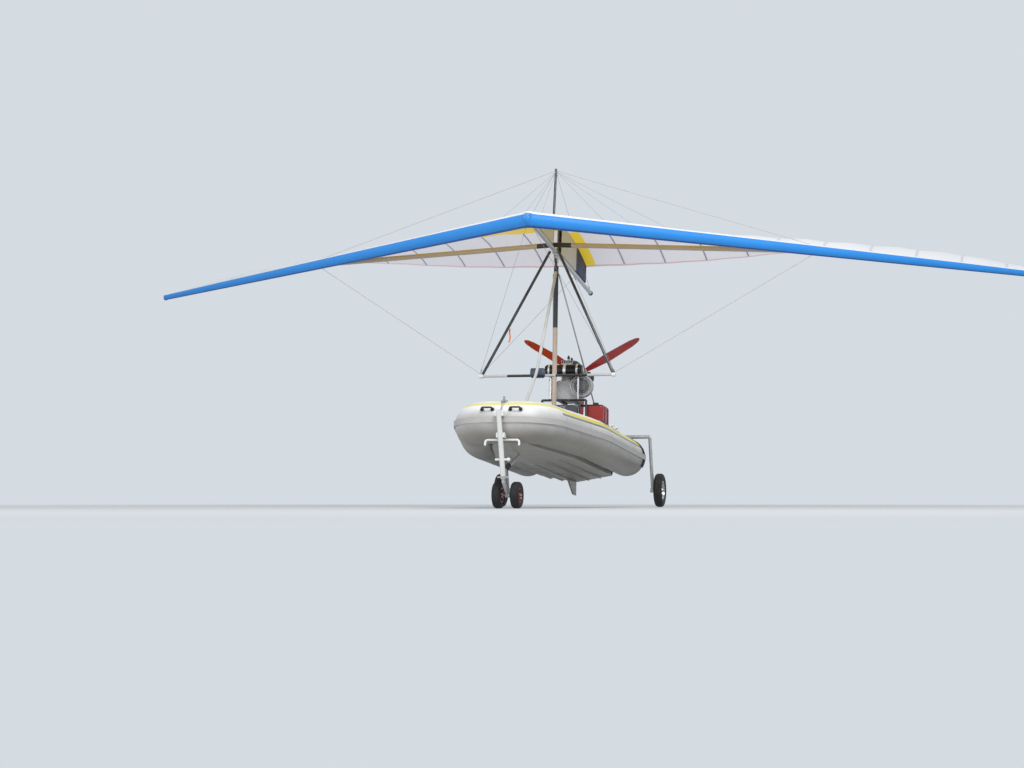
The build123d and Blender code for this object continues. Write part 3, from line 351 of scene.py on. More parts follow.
class Shape:
    """Points and four-sided faces of a piece in the making. marks are values that each point carries, and
    a plus sign puts two shapes together."""

    def __init__(self, points, faces, marks={}):
        self.points = np.asarray(points, float)
        self.faces = np.asarray(faces, int)
        self.marks = {name: np.asarray(values, float) for name, values in marks.items()}

    def __add__(self, other):
        marks = {n: np.concatenate([self.marks[n], other.marks[n]]) for n in self.marks if n in other.marks}
        points = np.concatenate([self.points, other.points])
        return Shape(points, np.concatenate([self.faces, other.faces + len(self.points)]), marks)

    def through(self, mapping):
        """The shape with its points carried into another frame."""
        return Shape(mapping(self.points), self.faces, self.marks)

    def moved(self, by):
        """The shape shifted."""
        return Shape(self.points + np.asarray(by, float), self.faces, self.marks)

    def along(self, start, end):
        """The shape, drawn up the Z axis from the origin, stood on the start and aimed at the end."""
        start = np.asarray(start, float)
        turn = Vector(np.asarray(end, float) - start).to_track_quat("Z", "Y").to_matrix()
        return Shape(self.points @ np.array(turn).T + start, self.faces, self.marks)

    def stuck(self, place, way):
        """The shape, drawn up the Z axis, stood on a place and pointing this way."""
        return self.along(place, np.asarray(place, float) + way)

    def on_side(self, side):
        """The shape itself for side 1, and its image across the centre plane for side -1."""
        return Shape(self.points * (side, 1, 1), self.faces, self.marks)

    def mirrored(self):
        """The shape with its image across the centre plane."""
        return self + Shape(self.points * (-1, 1, 1), self.faces[:, ::-1], self.marks)


def grid(points, around=False, capped=False, marks={}):
    """A shape from a grid of points, rows by columns, with a face between each four neighbours. around joins
    the last column to the first, and capped then closes the end rows by faces from side to side."""
    rows, columns = points.shape[:2]
    last = columns if around else columns - 1
    row, column = np.meshgrid(np.arange(rows - 1), np.arange(last), indexing="ij")
    right = (column + 1) % columns
    here, ahead = row * columns, (row + 1) * columns
    faces = [np.stack([here + column, here + right, ahead + right, ahead + column], -1).reshape(-1, 4)]
    if capped:
        k = np.arange(columns // 2 - 1)
        cap = np.stack([k, columns - 1 - k, columns - 2 - k, k + 1], -1)
        faces += [cap, (cap + (rows - 1) * columns)[:, ::-1]]
    flat = {name: np.broadcast_to(values, (rows, columns)).reshape(-1) for name, values in marks.items()}
    return Shape(points.reshape(-1, 3), np.concatenate(faces), flat)


def tube(path, radius, sides=16, up=(0, 0, 1), capped=True, marks={}):
    """A round bar along a path: at each point of the path a circle of that radius, square to the path."""
    path = np.asarray(path, float)
    ahead, side, over = frames_along(path, up)
    angle = np.linspace(0, 2 * np.pi, sides, endpoint=False)[None, :, None]
    radius = np.broadcast_to(radius, len(path))[:, None, None]
    points = path[:, None] + radius * (side[:, None] * np.cos(angle) + over[:, None] * np.sin(angle))
    return grid(points, around=True, capped=capped, marks=marks)


def mesh_of(name, shape):
    """The mesh of a shape, with points that fall together made one and its faces turned outward."""
    mesh = bpy.data.meshes.new(name)
    mesh.from_pydata(shape.points.tolist(), [], shape.faces.tolist())
    for mark, values in shape.marks.items():
        mesh.attributes.new(mark, "FLOAT", "POINT").data.foreach_set("value", values.astype(np.float32))
    work = bmesh.new()
    work.from_mesh(mesh)
    bmesh.ops.remove_doubles(work, verts=work.verts, dist=1e-6)
    bmesh.ops.recalc_face_normals(work, faces=work.faces)
    work.to_mesh(mesh)
    work.free()
    return mesh


def piece(name, shape, material, body="hull", sharp=35, stands_for=()):
    """Makes the object of a shape, with creases where faces meet at more than the sharp angle, and lets it
    ride on a body."""
    mesh = mesh_of(name, shape)
    mesh.polygons.foreach_set("use_smooth", np.ones(len(mesh.polygons), bool))
    mesh.set_sharp_from_angle(angle=np.radians(sharp))
    mesh.materials.append(material)
    made = placed(name, mesh)
    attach(made, body)
    if stands_for:
        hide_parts(*stands_for)
    return made


def rod(start, end, radius, sides=12):
    """A straight round bar between two points."""
    way = np.linspace(np.asarray(start, float), np.asarray(end, float), 3)
    steep = abs(way[-1, 2] - way[0, 2]) > 0.9 * np.linalg.norm(way[-1] - way[0])
    return tube(way, radius, sides, up=(0, 1, 0) if steep else (0, 0, 1))


def lathe(profile, sides=32):
    """A turned piece round the Z axis: each row of the profile, a radius and a height, swept round."""
    radius, height = np.asarray(profile, float).T[:, :, None]
    angle = np.linspace(0, 2 * np.pi, sides, endpoint=False)
    points = np.stack([radius * np.cos(angle), radius * np.sin(angle), height + 0 * angle], -1)
    return grid(points, around=True, capped=True)


def slab(size, corner=0.01, rim=0.003):
    """A box about the origin with round corners seen from above, and rounded rims above and below: each row
    is the outline drawn in by the rim's cosine, at the height that goes with its sine."""
    half = np.asarray(size, float) / 2
    quarter = np.linspace(0, np.pi / 2, 5)
    angle = (quarter + np.arange(4)[:, None] * np.pi / 2).reshape(-1)
    sign_x, sign_y = np.repeat([1, -1, -1, 1], 5), np.repeat([1, 1, -1, -1], 5)
    turn = np.repeat([-1, 1], 4) * np.append(np.linspace(np.pi / 2, 0, 4), np.linspace(0, np.pi / 2, 4))
    reach = (corner - rim * (1 - np.cos(turn)))[:, None]
    level = (np.sign(turn + np.repeat([-1e-9, 1e-9], 4)) * (half[2] - rim) + rim * np.sin(turn))[:, None]
    x = sign_x * (half[0] - corner) + reach * np.cos(angle)
    y = sign_y * (half[1] - corner) + reach * np.sin(angle)
    return grid(np.stack([x, y, level + 0 * x], -1), around=True, capped=True)


def cloth(points, thickness, marks={}):
    """A sheet of this thickness about a grid of points: the grid shifted by half of it along its normals, up
    and down, with its borders closed."""
    normal = np.cross(np.gradient(points, axis=0), np.gradient(points, axis=1))
    normal *= thickness / 2 / np.linalg.norm(normal, axis=-1, keepdims=True)
    both = np.concatenate([points + normal, (points - normal)[:, ::-1]], axis=1)
    spread = {name: np.broadcast_to(values, points.shape[:2]) for name, values in marks.items()}
    doubled = {name: np.concatenate([values, values[:, ::-1]], axis=1) for name, values in spread.items()}
    return grid(both, around=True, capped=True, marks=doubled)


def joined(shapes):
    """Many shapes as one."""
    shapes = list(shapes)
    return sum(shapes[1:], shapes[0])


def strap(line, way, half, thickness):
    """A flat band of webbing along a line, reaching half its width to each side in the given way."""
    reach = half * np.broadcast_to(way, line.shape)
    return cloth(np.stack([line - reach, line + reach], 1), thickness)


half_line = [(tube_side, boat_length, tube_up), (tube_side, 1.5, tube_up), (0.33, bow_aft, bow_up)]
collar_corners = half_line + [(-x, y, z) for x, y, z in reversed(half_line)]
collar_line = rounded_path(collar_corners, [1.5, 0.26, 0.26, 1.5], 0.016)
gone = length_along(collar_line)
from_end = np.minimum(gone, gone[-1] - gone)
cone_length = boat_length - cone_start
cone_radius = tube_radius - (tube_radius - cone_tip) * np.clip(1 - from_end / cone_length, 0, 1)
end_round = np.sqrt(np.clip(1 - np.clip(1 - from_end / 0.05, 0, 1) ** 2, 0.0004, 1))
tape = np.abs((from_end + tape_pitch / 2) % tape_pitch - tape_pitch / 2) < 0.022
collar_radii = (cone_radius - 0.0016 + tape_lift * tape) * end_round
collar_sides = 56
round_tube = np.linspace(0, 2 * np.pi, collar_sides, endpoint=False)
collar_shape = tube(
    from_boat(collar_line),
    collar_radii,
    collar_sides,
    marks={
        "outward": -np.cos(round_tube),
        "upward": np.sin(round_tube),
        "from_stern": from_end[:, None],
        "taped": tape[:, None],
    },
)

band_ends = (0.50, 3.78)
band_up, bow_band_up, band_half = 0.74, 1.04, 0.135  # radians above the outer side
line_up, line_half = 0.535, 0.062
pale_grey = (0.44, 0.435, 0.425)
band_yellow = (0.74, 0.62, 0.03)
band_navy = (0.13, 0.14, 0.18)
# Painted highlight: the paler yellow of the band round the bow, where the light falls full on it.
lit_bow_yellow = (0.76, 0.71, 0.30)
band_grimy = (0.60, 0.50, 0.04)

collar_cloth = Finish("collar_fabric", roughness=0.42, coat_weight=0.12, coat_roughness=0.3)
upward = collar_cloth.mark("upward")
elevation = upward.maths("ARCTAN2", upward, collar_cloth.mark("outward"))
stern_distance = collar_cloth.mark("from_stern")
taped = collar_cloth.mark("taped")
grime = collar_cloth.noise(2.2, 5, 0.6)
panel = collar_cloth.mix(collar_cloth.between(grime, 0.3, 0.7), pale_grey, (0.52, 0.51, 0.50))
panel = collar_cloth.mix(taped * 0.6, panel, (0.38, 0.375, 0.37))
# Painted shade: the lower side of the tube is darkened to a warm grey, standing for the shade under it and
# the ground's warm bounce.
shaded_underside = collar_cloth.between(upward + grime * 0.4, -0.55, 0.30)
panel = collar_cloth.mix(shaded_underside, collar_cloth.mix(grime, (0.20, 0.185, 0.155), (0.29, 0.27, 0.235)), panel)
# Painted highlight: the top of the tube is lightened to near white, where the light falls on it.
lit_top = collar_cloth.between(upward + grime * 0.3, 0.35, 0.95)
panel = collar_cloth.mix(lit_top, panel, (0.80, 0.80, 0.79))
clear_of_stern = stern_distance > band_ends[0]
bow_end = band_ends[1]
band_rise = collar_cloth.between(stern_distance, bow_end - 0.25, bow_end + 0.20, band_up, bow_band_up)
yellow_band = (abs(elevation - band_rise) < band_half) * clear_of_stern
navy_band = (abs(elevation - line_up) < line_half) * clear_of_stern * (stern_distance < bow_end)
# Painted highlight: the band turns a paler yellow as it runs round the bow, where the light falls full on it.
bow_band_highlight = collar_cloth.between(stern_distance, bow_end - 0.05, bow_end + 0.10)
band_shade = collar_cloth.mix(bow_band_highlight, band_yellow, lit_bow_yellow)
panel = collar_cloth.mix(yellow_band, panel, collar_cloth.mix(grime * 0.3, band_shade, band_grimy))
panel = collar_cloth.mix(navy_band, panel, band_navy)
weave = collar_cloth.noise(900, 1, 0.4)
pucker = collar_cloth.noise(26, 2, 0.5) * collar_cloth.between(abs(taped - 0.5), 0.5, 0.1)
collar = piece(
    "air_collar_dressed",
    collar_shape,
    collar_cloth.wear(
        base_color=panel,
        roughness=collar_cloth.dull(grime, 0.34, 0.52),
        normal=collar_cloth.bump(weave * 0.08 + pucker * 0.5 + grime * 0.4, 0.004),
    ),
    stands_for=["air_collar"],
)


# Valves, cleats and feet on the collar
# Each chamber has a round plastic valve on its inner side. Aft, on the port tube's top, sit two white cleats
# and two small rubber feet that stays once stood on, all glued on round patches.

valve_places = [(1.76, 1), (2.95, 1), (1.76, -1), (2.95, -1)]
cleat_places = [2.25, 2.50]
foot_places = [1.74, 1.90]
patch_radius, patch_high, patch_edge = 0.055, 0.0048, 0.0035
port_fitting_up, valve_up = 62, 148


def on_tube(shape, side, aft, angle):
    """A shape drawn on the XY plane, set on the straight part of a side tube, this many degrees up from
    straight outboard."""
    lean = np.radians(angle)
    outward = np.array([side * np.cos(lean), 0, np.sin(lean)])
    on_wall = np.array([side * tube_side, aft, tube_up]) + outward * (tube_radius + 0.0003)
    return shape.stuck(on_wall, outward).through(from_boat)


patch_rim = [(patch_radius, 0), (patch_radius, patch_edge), (patch_radius - 0.004, patch_high)]
patch = lathe([(0.001, 0)] + patch_rim + [(0.001, patch_high)])
valve_ring = [(0.001, 0.004), (0.034, 0.004), (0.034, 0.009), (0.028, 0.0125), (0.022, 0.013), (0.020, 0.010)]
valve = lathe(valve_ring + [(0.006, 0.010), (0.005, 0.013), (0.001, 0.013)], 24)
cleat = slab((0.100, 0.026, 0.014), 0.012, 0.005).moved((0, 0, 0.029))
cleat = cleat + lathe([(0.016, 0), (0.011, 0.006), (0.010, 0.024)], 16).moved((0, 0, 0.0045))
rubber_foot = lathe([(0.028, 0.004), (0.028, 0.012), (0.024, 0.018), (0.018, 0.020), (0.001, 0.020)], 24)

white_plastic = worn("white_fitting", (0.74, 0.74, 0.72), (0.80, 0.80, 0.79), 9, (0.30, 0.42))
black_rubber = worn("black_moulding", (0.018, 0.018, 0.020), (0.035, 0.035, 0.037), 12, (0.45, 0.65), 0.0004)
patch_cloth = worn("patch_cloth", (0.50, 0.515, 0.53), (0.58, 0.59, 0.60), 8, (0.40, 0.52), 0.0003, 700.0)
port_places = [(1, aft, port_fitting_up) for aft in cleat_places + foot_places]
inner_places = [(side, aft, valve_up) for aft, side in valve_places]


def fittings(shape, places):
    """The shape at each of these places on the tubes."""
    return joined(on_tube(shape, *place) for place in places)


patches = fittings(patch, port_places + inner_places)
piece("collar_patches", patches, patch_cloth, stands_for=["tube_fittings"])
piece("inflation_valves", fittings(valve, inner_places), black_rubber)
piece("tube_cleats", fittings(cleat, port_places[:2]), white_plastic)
piece("tube_feet", fittings(rubber_foot, port_places[2:]), black_rubber)


# Rub strake, bow handles, bow rail and eyes
# A ribbed rubber strake is glued round the widest line of the tube. Two moulded rubber handles, a bent and
# powder-coated rail and stainless towing and tie-down eyes are fixed on the bow and the stern board. Two
# turns of thin rope lash the bow's tube.

strake = Finish("strake_rubber", roughness=0.6)
strake_cloud = strake.noise(7, 4)
strake_ribs = strake.bump(strake.axis("Z").repeat(0.012), 0.003)
strake.coat(strake_cloud, (0.40, 0.39, 0.375), (0.48, 0.47, 0.455), (0.5, 0.7), normal=strake_ribs)
paint(strake.material, "rub_strake")
paint(black_rubber, "bow_handles")
powder_shades = (0.72, 0.72, 0.70), (0.80, 0.80, 0.79)
white_coat = worn("white_powder_coat", *powder_shades, 6, (0.28, 0.40), 0.00015, coat_weight=0.3)
paint(white_coat, "bow_rail", "nose_head_tube")
stainless = worn("stainless", (0.55, 0.55, 0.55), (0.66, 0.66, 0.66), 20, (0.16, 0.30), 0.00004, metallic=1.0)
paint(stainless, "tow_eye", "stern_eyes")

rope_radius = 0.0035
rope_reach = tube_radius + rope_radius + 0.0007
rope_turn = np.radians(np.linspace(12, 78, 30))
rope_y, rope_z = bow_aft - rope_reach * np.cos(rope_turn), bow_up + rope_reach * np.sin(rope_turn)
lashing = []
for offset, spread in ((-0.016, 0.010), (0.014, -0.012)):
    rope = np.stack([offset + spread * np.sin(3 * rope_turn), rope_y, rope_z], -1)
    lashing.append(tube(rope, rope_radius, 8, up=(1, 0, 0)))
lashing_rope = Finish("lashing_rope", roughness=0.85)
rope_lay = lashing_rope.noise(420, 2)
lashing_rope.wear(
    base_color=lashing_rope.mix(rope_lay, (0.20, 0.24, 0.32), (0.48, 0.52, 0.58)),
    normal=lashing_rope.bump(rope_lay, 0.0012),
)
piece("bow_lashing", joined(lashing).through(from_boat), lashing_rope.material)


# Rigid bottom, deck, stern board and skeg
# The bottom is a glass-fibre V with moulded spray rails, glued under the tubes. The deck is sanded for grip,
# and the stern board and the skeg are of the same moulding.

gelcoat = Finish("hull_gelcoat", coat_weight=0.25, coat_roughness=0.3)
gel_cloud = gelcoat.noise(1.8, 5)
# The gelcoat is darker towards the bottom of the hull, below about 0.42 to 0.56 m up.
gel_upper = gelcoat.mix(gel_cloud, (0.32, 0.30, 0.265), (0.39, 0.37, 0.335))
gel_lower = gelcoat.mix(gel_cloud, (0.235, 0.205, 0.16), (0.30, 0.27, 0.22))
lower_darkening = gelcoat.between(gelcoat.axis("Z") + gel_cloud * 0.12, 0.42, 0.56)
gel_streak = gelcoat.noise(6, 3, 0.6, gelcoat.place(stretch=(1, 0.15, 6)))
gelcoat.wear(
    base_color=gelcoat.mix(lower_darkening, gel_lower, gel_upper),
    roughness=gelcoat.between(gel_streak, 0.35, 0.7, 0.36, 0.50),
    normal=gelcoat.bump(gelcoat.noise(1.2, 1), 0.0010),
)
paint(gelcoat.material, "hull_bottom", "transom", "skeg")

decking = Finish("deck_grip")
grit = Field(decking.node("TexVoronoi", Vector=decking.place(), Scale=260.0).outputs["Distance"])
deck_cloud = decking.noise(3.5, 5)
walked = decking.between(abs(decking.axis("X")), 0.10, 0.30)
deck_shade = decking.mix(deck_cloud, (0.30, 0.31, 0.32), (0.40, 0.41, 0.42))
decking.wear(
    base_color=decking.mix(walked * deck_cloud, deck_shade, (0.46, 0.47, 0.48)),
    roughness=decking.dull(deck_cloud, 0.6, 0.8),
    normal=decking.bump(grit, 0.0012),
)
paint(decking.material, "deck")


# Nose gear
# A powder-coated head tube holds the steered stem. A spring damper braces it to the keel. The fork carries
# two small treaded tyres on dark red split rims, each closed by a ring of bolts.

nose_lean = np.radians(20)
head_out = 0.258
head_near = np.array([0, bow_aft - head_out * np.cos(nose_lean), bow_up - head_out * np.sin(nose_lean)])
down_axis = np.array([0, np.sin(nose_lean), -np.cos(nose_lean)])
damper_down = 0.456
damper_top = head_near + damper_down * down_axis
damper_foot = np.array([0, 0.86, -0.462])
spring_turns = 9
spring_radius = 0.027
spring_wire = 0.0035
groove_deep = 0.0035


def wheel_of(node):
    """The middle of a node's box, half its height and its width."""
    low, high = (np.array(corner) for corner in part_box(node))
    return (low + high) / 2, (high[2] - low[2]) / 2, high[0] - low[0]


def tyre(middle, radius, width, bead, blocks):
    """A tyre about a line along X. The section is a rounded square. Tread blocks stand between grooves that
    cross the crown in steps, half a block apart left and right, and beside a groove round the middle."""
    around = 4 * blocks
    swing = np.radians(np.linspace(-158, 158, 53))[:, None]
    angle = np.linspace(0, 2 * np.pi, around, endpoint=False)[None, :]
    square = np.sign(np.cos(swing)) * np.abs(np.cos(swing)) ** 0.8
    out = width / 2 * np.sign(np.sin(swing)) * np.abs(np.sin(swing)) ** 0.75
    reach = (radius + bead) / 2 + (radius - bead) / 2 * square
    crown = np.clip((np.cos(swing) - 0.45) * 12, 0, 1)
    step = (np.arange(around)[None, :] + np.where(swing > 0, 2, 0)) % 4
    groove = np.where((step == 0) | (np.abs(swing) < 0.10) | (np.abs(np.abs(swing) - 0.62) < 0.05), 1.0, 0.0)
    reach = reach - groove_deep * crown * groove * (np.abs(swing) < 1.05)
    points = np.stack([out + 0 * angle, reach * np.cos(angle), reach * np.sin(angle)], -1)
    points = np.concatenate([points, points[:1]])
    grooved = np.concatenate([groove * crown, groove[:1] * 0])
    return grid(points, around=True, marks={"grooved": grooved}).moved(middle)


tread = Finish("tyre_rubber")
tread_cloud = tread.noise(14, 4)
dust_and_groove_shade = tread.mix(tread_cloud, (0.008, 0.008, 0.009), (0.019, 0.018, 0.018))
# Painted shade: the grooves of the tread are darkened, as shade in the recesses; the clouds above are the
# rubber's dusty tone.
dust_and_groove_shade = tread.mix(tread.mark("grooved") * 0.7, dust_and_groove_shade, (0.006, 0.006, 0.006))
tread.wear(
    base_color=dust_and_groove_shade,
    roughness=tread.dull(tread_cloud, 0.60, 0.85),
    normal=tread.bump(tread.noise(240, 2), 0.0005),
)

nose_middle, nose_radius, nose_reach = wheel_of("nose_tyres")
nose_tyre_width = 0.095
nose_half = (nose_reach - nose_tyre_width) / 2
nose_wheels = [(side, nose_middle + (side * nose_half, 0, 0)) for side in (-1, 1)]
tyre_skin = 0.001
nose_size = (nose_radius - tyre_skin, nose_tyre_width - tyre_skin, 0.076)
nose_tyres = joined(tyre(middle, *nose_size, 44) for side, middle in nose_wheels)
piece("nose_tyres_treaded", nose_tyres, tread.material, "nose_wheels", 50, ["nose_tyres"])

nut_washer = [(0.0072, 0), (0.0072, 0.0015), (0.0060, 0.0016)]
hex_nut = lathe(nut_washer + [(0.0060, 0.0060), (0.0050, 0.0072), (0.001, 0.0072)], 6)


def rim_bolts(middle, face_out, circle, count, side):
    """Nuts in a ring on a rim's web, facing outboard on the given side."""
    turns = np.arange(count) * 2 * np.pi / count
    ring = [middle + (side * face_out, circle * np.cos(turn), circle * np.sin(turn)) for turn in turns]
    return joined(hex_nut.stuck(place, (side, 0, 0)) for place in ring)


def nuts_at(places):
    """Upright nuts at these places."""
    return joined(hex_nut.moved(place) for place in places)


bolt_steel = worn(
    "bolt_steel", (0.42, 0.42, 0.43), (0.58, 0.58, 0.58), 60, (0.25, 0.45), 0.0001, metallic=1.0
)
red_enamel = worn(
    "dark_red_enamel", (0.17, 0.010, 0.012), (0.24, 0.016, 0.018), 12, (0.28, 0.45), coat_weight=0.3
)
paint(red_enamel, "nose_rims")
nose_nuts = joined(rim_bolts(middle, 0.0118, 0.046, 4, side) for side, middle in nose_wheels)
piece("nose_rim_nuts", nose_nuts, bolt_steel, "nose_wheels", 30)

coil_turn = np.linspace(0, 2 * np.pi * spring_turns, 20 * spring_turns)[:, None]
coil_way = damper_foot - damper_top
coil_way /= np.linalg.norm(coil_way)
coil_side = np.array([1.0, 0, 0])
coil_up = np.cross(coil_way, coil_side)
coil_run = 0.05 + 0.185 * coil_turn / coil_turn[-1]
coil_round = coil_side * np.cos(coil_turn) + coil_up * np.sin(coil_turn)
coil = damper_top + coil_run * coil_way + spring_radius * coil_round
coil_shape = tube(from_boat(coil), spring_wire, 8, up=coil_way)
cup = lathe([(0.0235, 0), (0.032, 0), (0.032, 0.006), (0.0235, 0.006)], 32)
cups = joined(cup.stuck(damper_top + run * coil_way, coil_way) for run in (0.042, 0.238))
piece("damper_spring", coil_shape, black_rubber)
piece("damper_cups", cups.through(from_boat), stainless)

steel_shades = (0.46, 0.465, 0.47), (0.55, 0.555, 0.56)
steel_grey = worn("grey_steel", *steel_shades, 9, (0.30, 0.48), 0.0002, metallic=0.35, coat_weight=0.2)
paint(steel_grey, "nose_drag_strut", "nose_fork")


# Main gear
# A steel cross tube lies over the stern in two saddles that are strapped to the tubes. A straight leg at each
# side carries a treaded tyre on a silver-grey split rim.

paint(steel_grey, "gear_beam", "gear_legs")
grey_enamel = worn(
    "silver_rim", (0.40, 0.41, 0.42), (0.52, 0.53, 0.54), 10, (0.25, 0.40), 0.0001, metallic=0.7
)
paint(grey_enamel, "main_rim_port", "main_rim_starboard")
for side_name, _ in flanks:
    name, body = "main_tyre_" + side_name, "main_wheel_" + side_name
    middle, radius, width = wheel_of(name)
    shape = tyre(middle, radius - tyre_skin, width - tyre_skin, 0.110, 64)
    piece(name + "_treaded", shape, tread.material, body, 50, [name])
    nuts = rim_bolts(middle, 0.0125, 0.066, 6, 1) + rim_bolts(middle, 0.0125, 0.066, 6, -1)
    piece("main_rim_nuts_" + side_name, nuts, bolt_steel, body, 30)

gear_aft = 3.65
strap_angle = np.radians(np.linspace(-28, 208, 60))
pad_angle = np.radians(np.linspace(-32, 212, 60))
strap_lift, pad_lift = 0.0048, 0.0015
strap_half, strap_thick = 0.011, 0.002
pad_half, pad_thick = 0.075, 0.0022
astern = np.array([0, 1, 0])


def over_tube(side, aft, angle, lift):
    """Points round the outside of a side tube at these angles, this far off it."""
    across = side * (tube_side + (tube_radius + lift) * np.cos(angle))
    return np.stack([across, 0 * across + aft, tube_up + (tube_radius + lift) * np.sin(angle)], -1)


straps, pads = [], []
clear = np.abs(strap_angle - np.pi / 2) > 0.36
for side in (-1, 1):
    for aft in (gear_aft - 0.028, gear_aft + 0.028):
        line = over_tube(side, aft, strap_angle, strap_lift)
        halves = clear & (strap_angle < 1.5), clear & (strap_angle > 1.6)
        straps += [strap(line[part], astern, strap_half, strap_thick) for part in halves]
    line = over_tube(side, gear_aft, pad_angle, pad_lift)
    pads.append(cloth(line[:, None] + np.outer((-pad_half, 0, pad_half), astern), pad_thick))
piece("saddle_pads", joined(pads).through(from_boat), black_rubber)
webbing = Finish("black_webbing", roughness=0.8)
webbing.wear(
    base_color=webbing.mix(webbing.noise(30), (0.016, 0.017, 0.020), (0.035, 0.037, 0.042)),
    normal=webbing.bump(webbing.noise(700, 1), 0.0006),
)
piece("saddle_straps", joined(straps).through(from_boat), webbing.material)


# Frame
# A square aluminium beam runs along the deck. It carries the mast, whose upper part is wrapped in dark foam,
# the light front strut, the thin stays and the seats' tube stands. Plates and bolts join them.

alloy = worn("tube_alloy", (0.50, 0.51, 0.52), (0.62, 0.625, 0.63), 7, (0.26, 0.42), 0.0001, metallic=0.85)
paint(alloy, "floor_beam", "rear_stays", "seat_stands")
light_coat = worn(
    "light_grey_coat", (0.50, 0.505, 0.51), (0.58, 0.585, 0.59), 8, (0.28, 0.40), coat_weight=0.25
)
paint(light_coat, "front_strut")
mast_coat = Finish("mast_coat", coat_weight=0.2)
mast_cloud = mast_coat.noise(8, 4)
mast_coat.coat(
    mast_cloud,
    (0.45, 0.34, 0.27),
    (0.56, 0.45, 0.37),
    (0.35, 0.6),
    part=mast_coat.axis("Z") > 2.05,
    other=mast_coat.mix(mast_cloud, (0.020, 0.021, 0.024), (0.045, 0.046, 0.05)),
    normal=mast_coat.bump(mast_coat.noise(300, 2), 0.0003),
)
paint(mast_coat.material, "mast")

beam_top = -0.262
foot_bolts = nuts_at((x, y, beam_top + 0.012) for x in (-0.036, 0.036) for y in (2.394, 2.466))
beam_bolts = nuts_at((0, y, beam_top) for y in (0.70, 1.10, 1.50, 2.20, 2.70, 3.20, 3.50))
piece("frame_bolts", (foot_bolts + beam_bolts).through(from_boat), bolt_steel, sharp=30)


# Seats
# Two low seats: a foam cushion and a leaning back, each sewn of dark cloth with a lighter top panel and piped
# round its face. The pads are blown up by the cloth simulation, and each has a lap belt with a buckle.

seat_width = 0.40
seat_length = 0.43
seat_thick = 0.08
back_length = 0.44
back_thick = 0.06
seat_lean = 14
seat_places = [("front", 1.79, -0.12), ("rear", 2.49, -0.02)]


def inflated(shape, voxel, cap):
    """A pad after a cloth simulation with air inside, each point held within the cap, and its mesh."""
    pad = placed("pad", mesh_of("pad", shape))

    def settled():
        made = bpy.data.meshes.new_from_object(pad.evaluated_get(bpy.context.evaluated_depsgraph_get()))
        pad.modifiers.clear()
        pad.data = made
        return made

    remesh = pad.modifiers.new("remesh", "REMESH")
    remesh.mode = "VOXEL"
    remesh.voxel_size = voxel
    before = settled()
    start = np.empty(len(before.vertices) * 3, np.float32)
    before.vertices.foreach_get("co", start)
    sim = pad.modifiers.new("cloth", "CLOTH").settings
    sim.use_pressure = True
    sim.uniform_pressure_force = 4.0
    sim.effector_weights.gravity = 0.0
    for step in range(1, 21):
        bpy.context.scene.frame_set(step)
    after = settled()
    end = np.empty_like(start)
    after.vertices.foreach_get("co", end)
    swell = (end - start).reshape(-1, 3)
    far = np.linalg.norm(swell, axis=1, keepdims=True)
    swell *= np.minimum(1, cap / np.maximum(far, 1e-9))
    after.vertices.foreach_set("co", (start.reshape(-1, 3) + swell).reshape(-1))
    smooth = pad.modifiers.new("smooth", "SUBSURF")
    smooth.levels = smooth.render_levels = 1
    return pad, settled()


def seat_pad(name, shape, place, material):
    """One pad: blown up flat at the origin, pressed against its plane, and then put in its place."""
    pad, mesh = inflated(shape, 0.006, 0.010)
    flat = np.empty(len(mesh.vertices) * 3, np.float32)
    mesh.vertices.foreach_get("co", flat)
    points = flat.reshape(-1, 3)
    points[:, 2] = np.maximum(points[:, 2], shape.points[:, 2].min())
    mesh.attributes.new("from_side", "FLOAT", "POINT").data.foreach_set("value", np.abs(points[:, 0]))
    mesh.vertices.foreach_set("co", place(points).astype(np.float32).reshape(-1))
    mesh.polygons.foreach_set("use_smooth", np.ones(len(mesh.polygons), bool))
    mesh.materials.clear()
    mesh.materials.append(material)
    pad.name = mesh.name = name
    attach(pad, "hull")
    return pad


seat_cloth = Finish("seat_cloth", roughness=0.85)
seat_weave = seat_cloth.noise(800, 1, 0.4)
seat_cloud = seat_cloth.noise(9, 4)
channel = seat_cloth.between(seat_cloth.mark("from_side").repeat(0.10), 0.46, 0.5)
seat_top = seat_cloth.mark("from_side") < 0.15
seat_shade = seat_cloth.mix(seat_top, (0.022, 0.024, 0.030), (0.075, 0.085, 0.105))
seat_cloth.wear(
    base_color=seat_cloth.mix(seat_cloud * 0.5, seat_shade, (0.11, 0.115, 0.125)),
    normal=seat_cloth.bump(seat_weave * 0.10 - channel * seat_top, 0.004),
)
piping_cloth = worn("seat_piping", (0.26, 0.27, 0.29), (0.36, 0.37, 0.39), 30, (0.6, 0.8), 0.0003, 900.0)

inset, pad_corner, base_rim, back_rim = 0.012, 0.055, 0.022, 0.018
belt_half, belt_thick = 0.019, 0.0022
piping_radius = 0.004
piping_corners = [(0.168, 0.1848), (-0.168, 0.1848), (-0.168, -0.1848), (0.168, -0.1848)]
piping_edge = np.array(piping_corners + piping_corners[:2])
belt_low = [(0.215, 0.10, -0.07), (0.208, 0.12, 0.0), (0.16, 0.10, 0.050)]
belt_side = np.array(belt_low + [(0.05, 0.02, 0.0505), (0.0, -0.01, 0.0505)])
lean_cos, lean_sin = np.cos(np.radians(seat_lean)), np.sin(np.radians(seat_lean))
back_axes = np.array([(1, 0, 0), (0, lean_sin, lean_cos), (0, -lean_cos, lean_sin)])


def piping_loop(height):
    """The line of the piping round a pad's face at this height."""
    return rounded_path(np.column_stack([piping_edge, np.full(6, height)]), [0.05] * 4, 0.01)


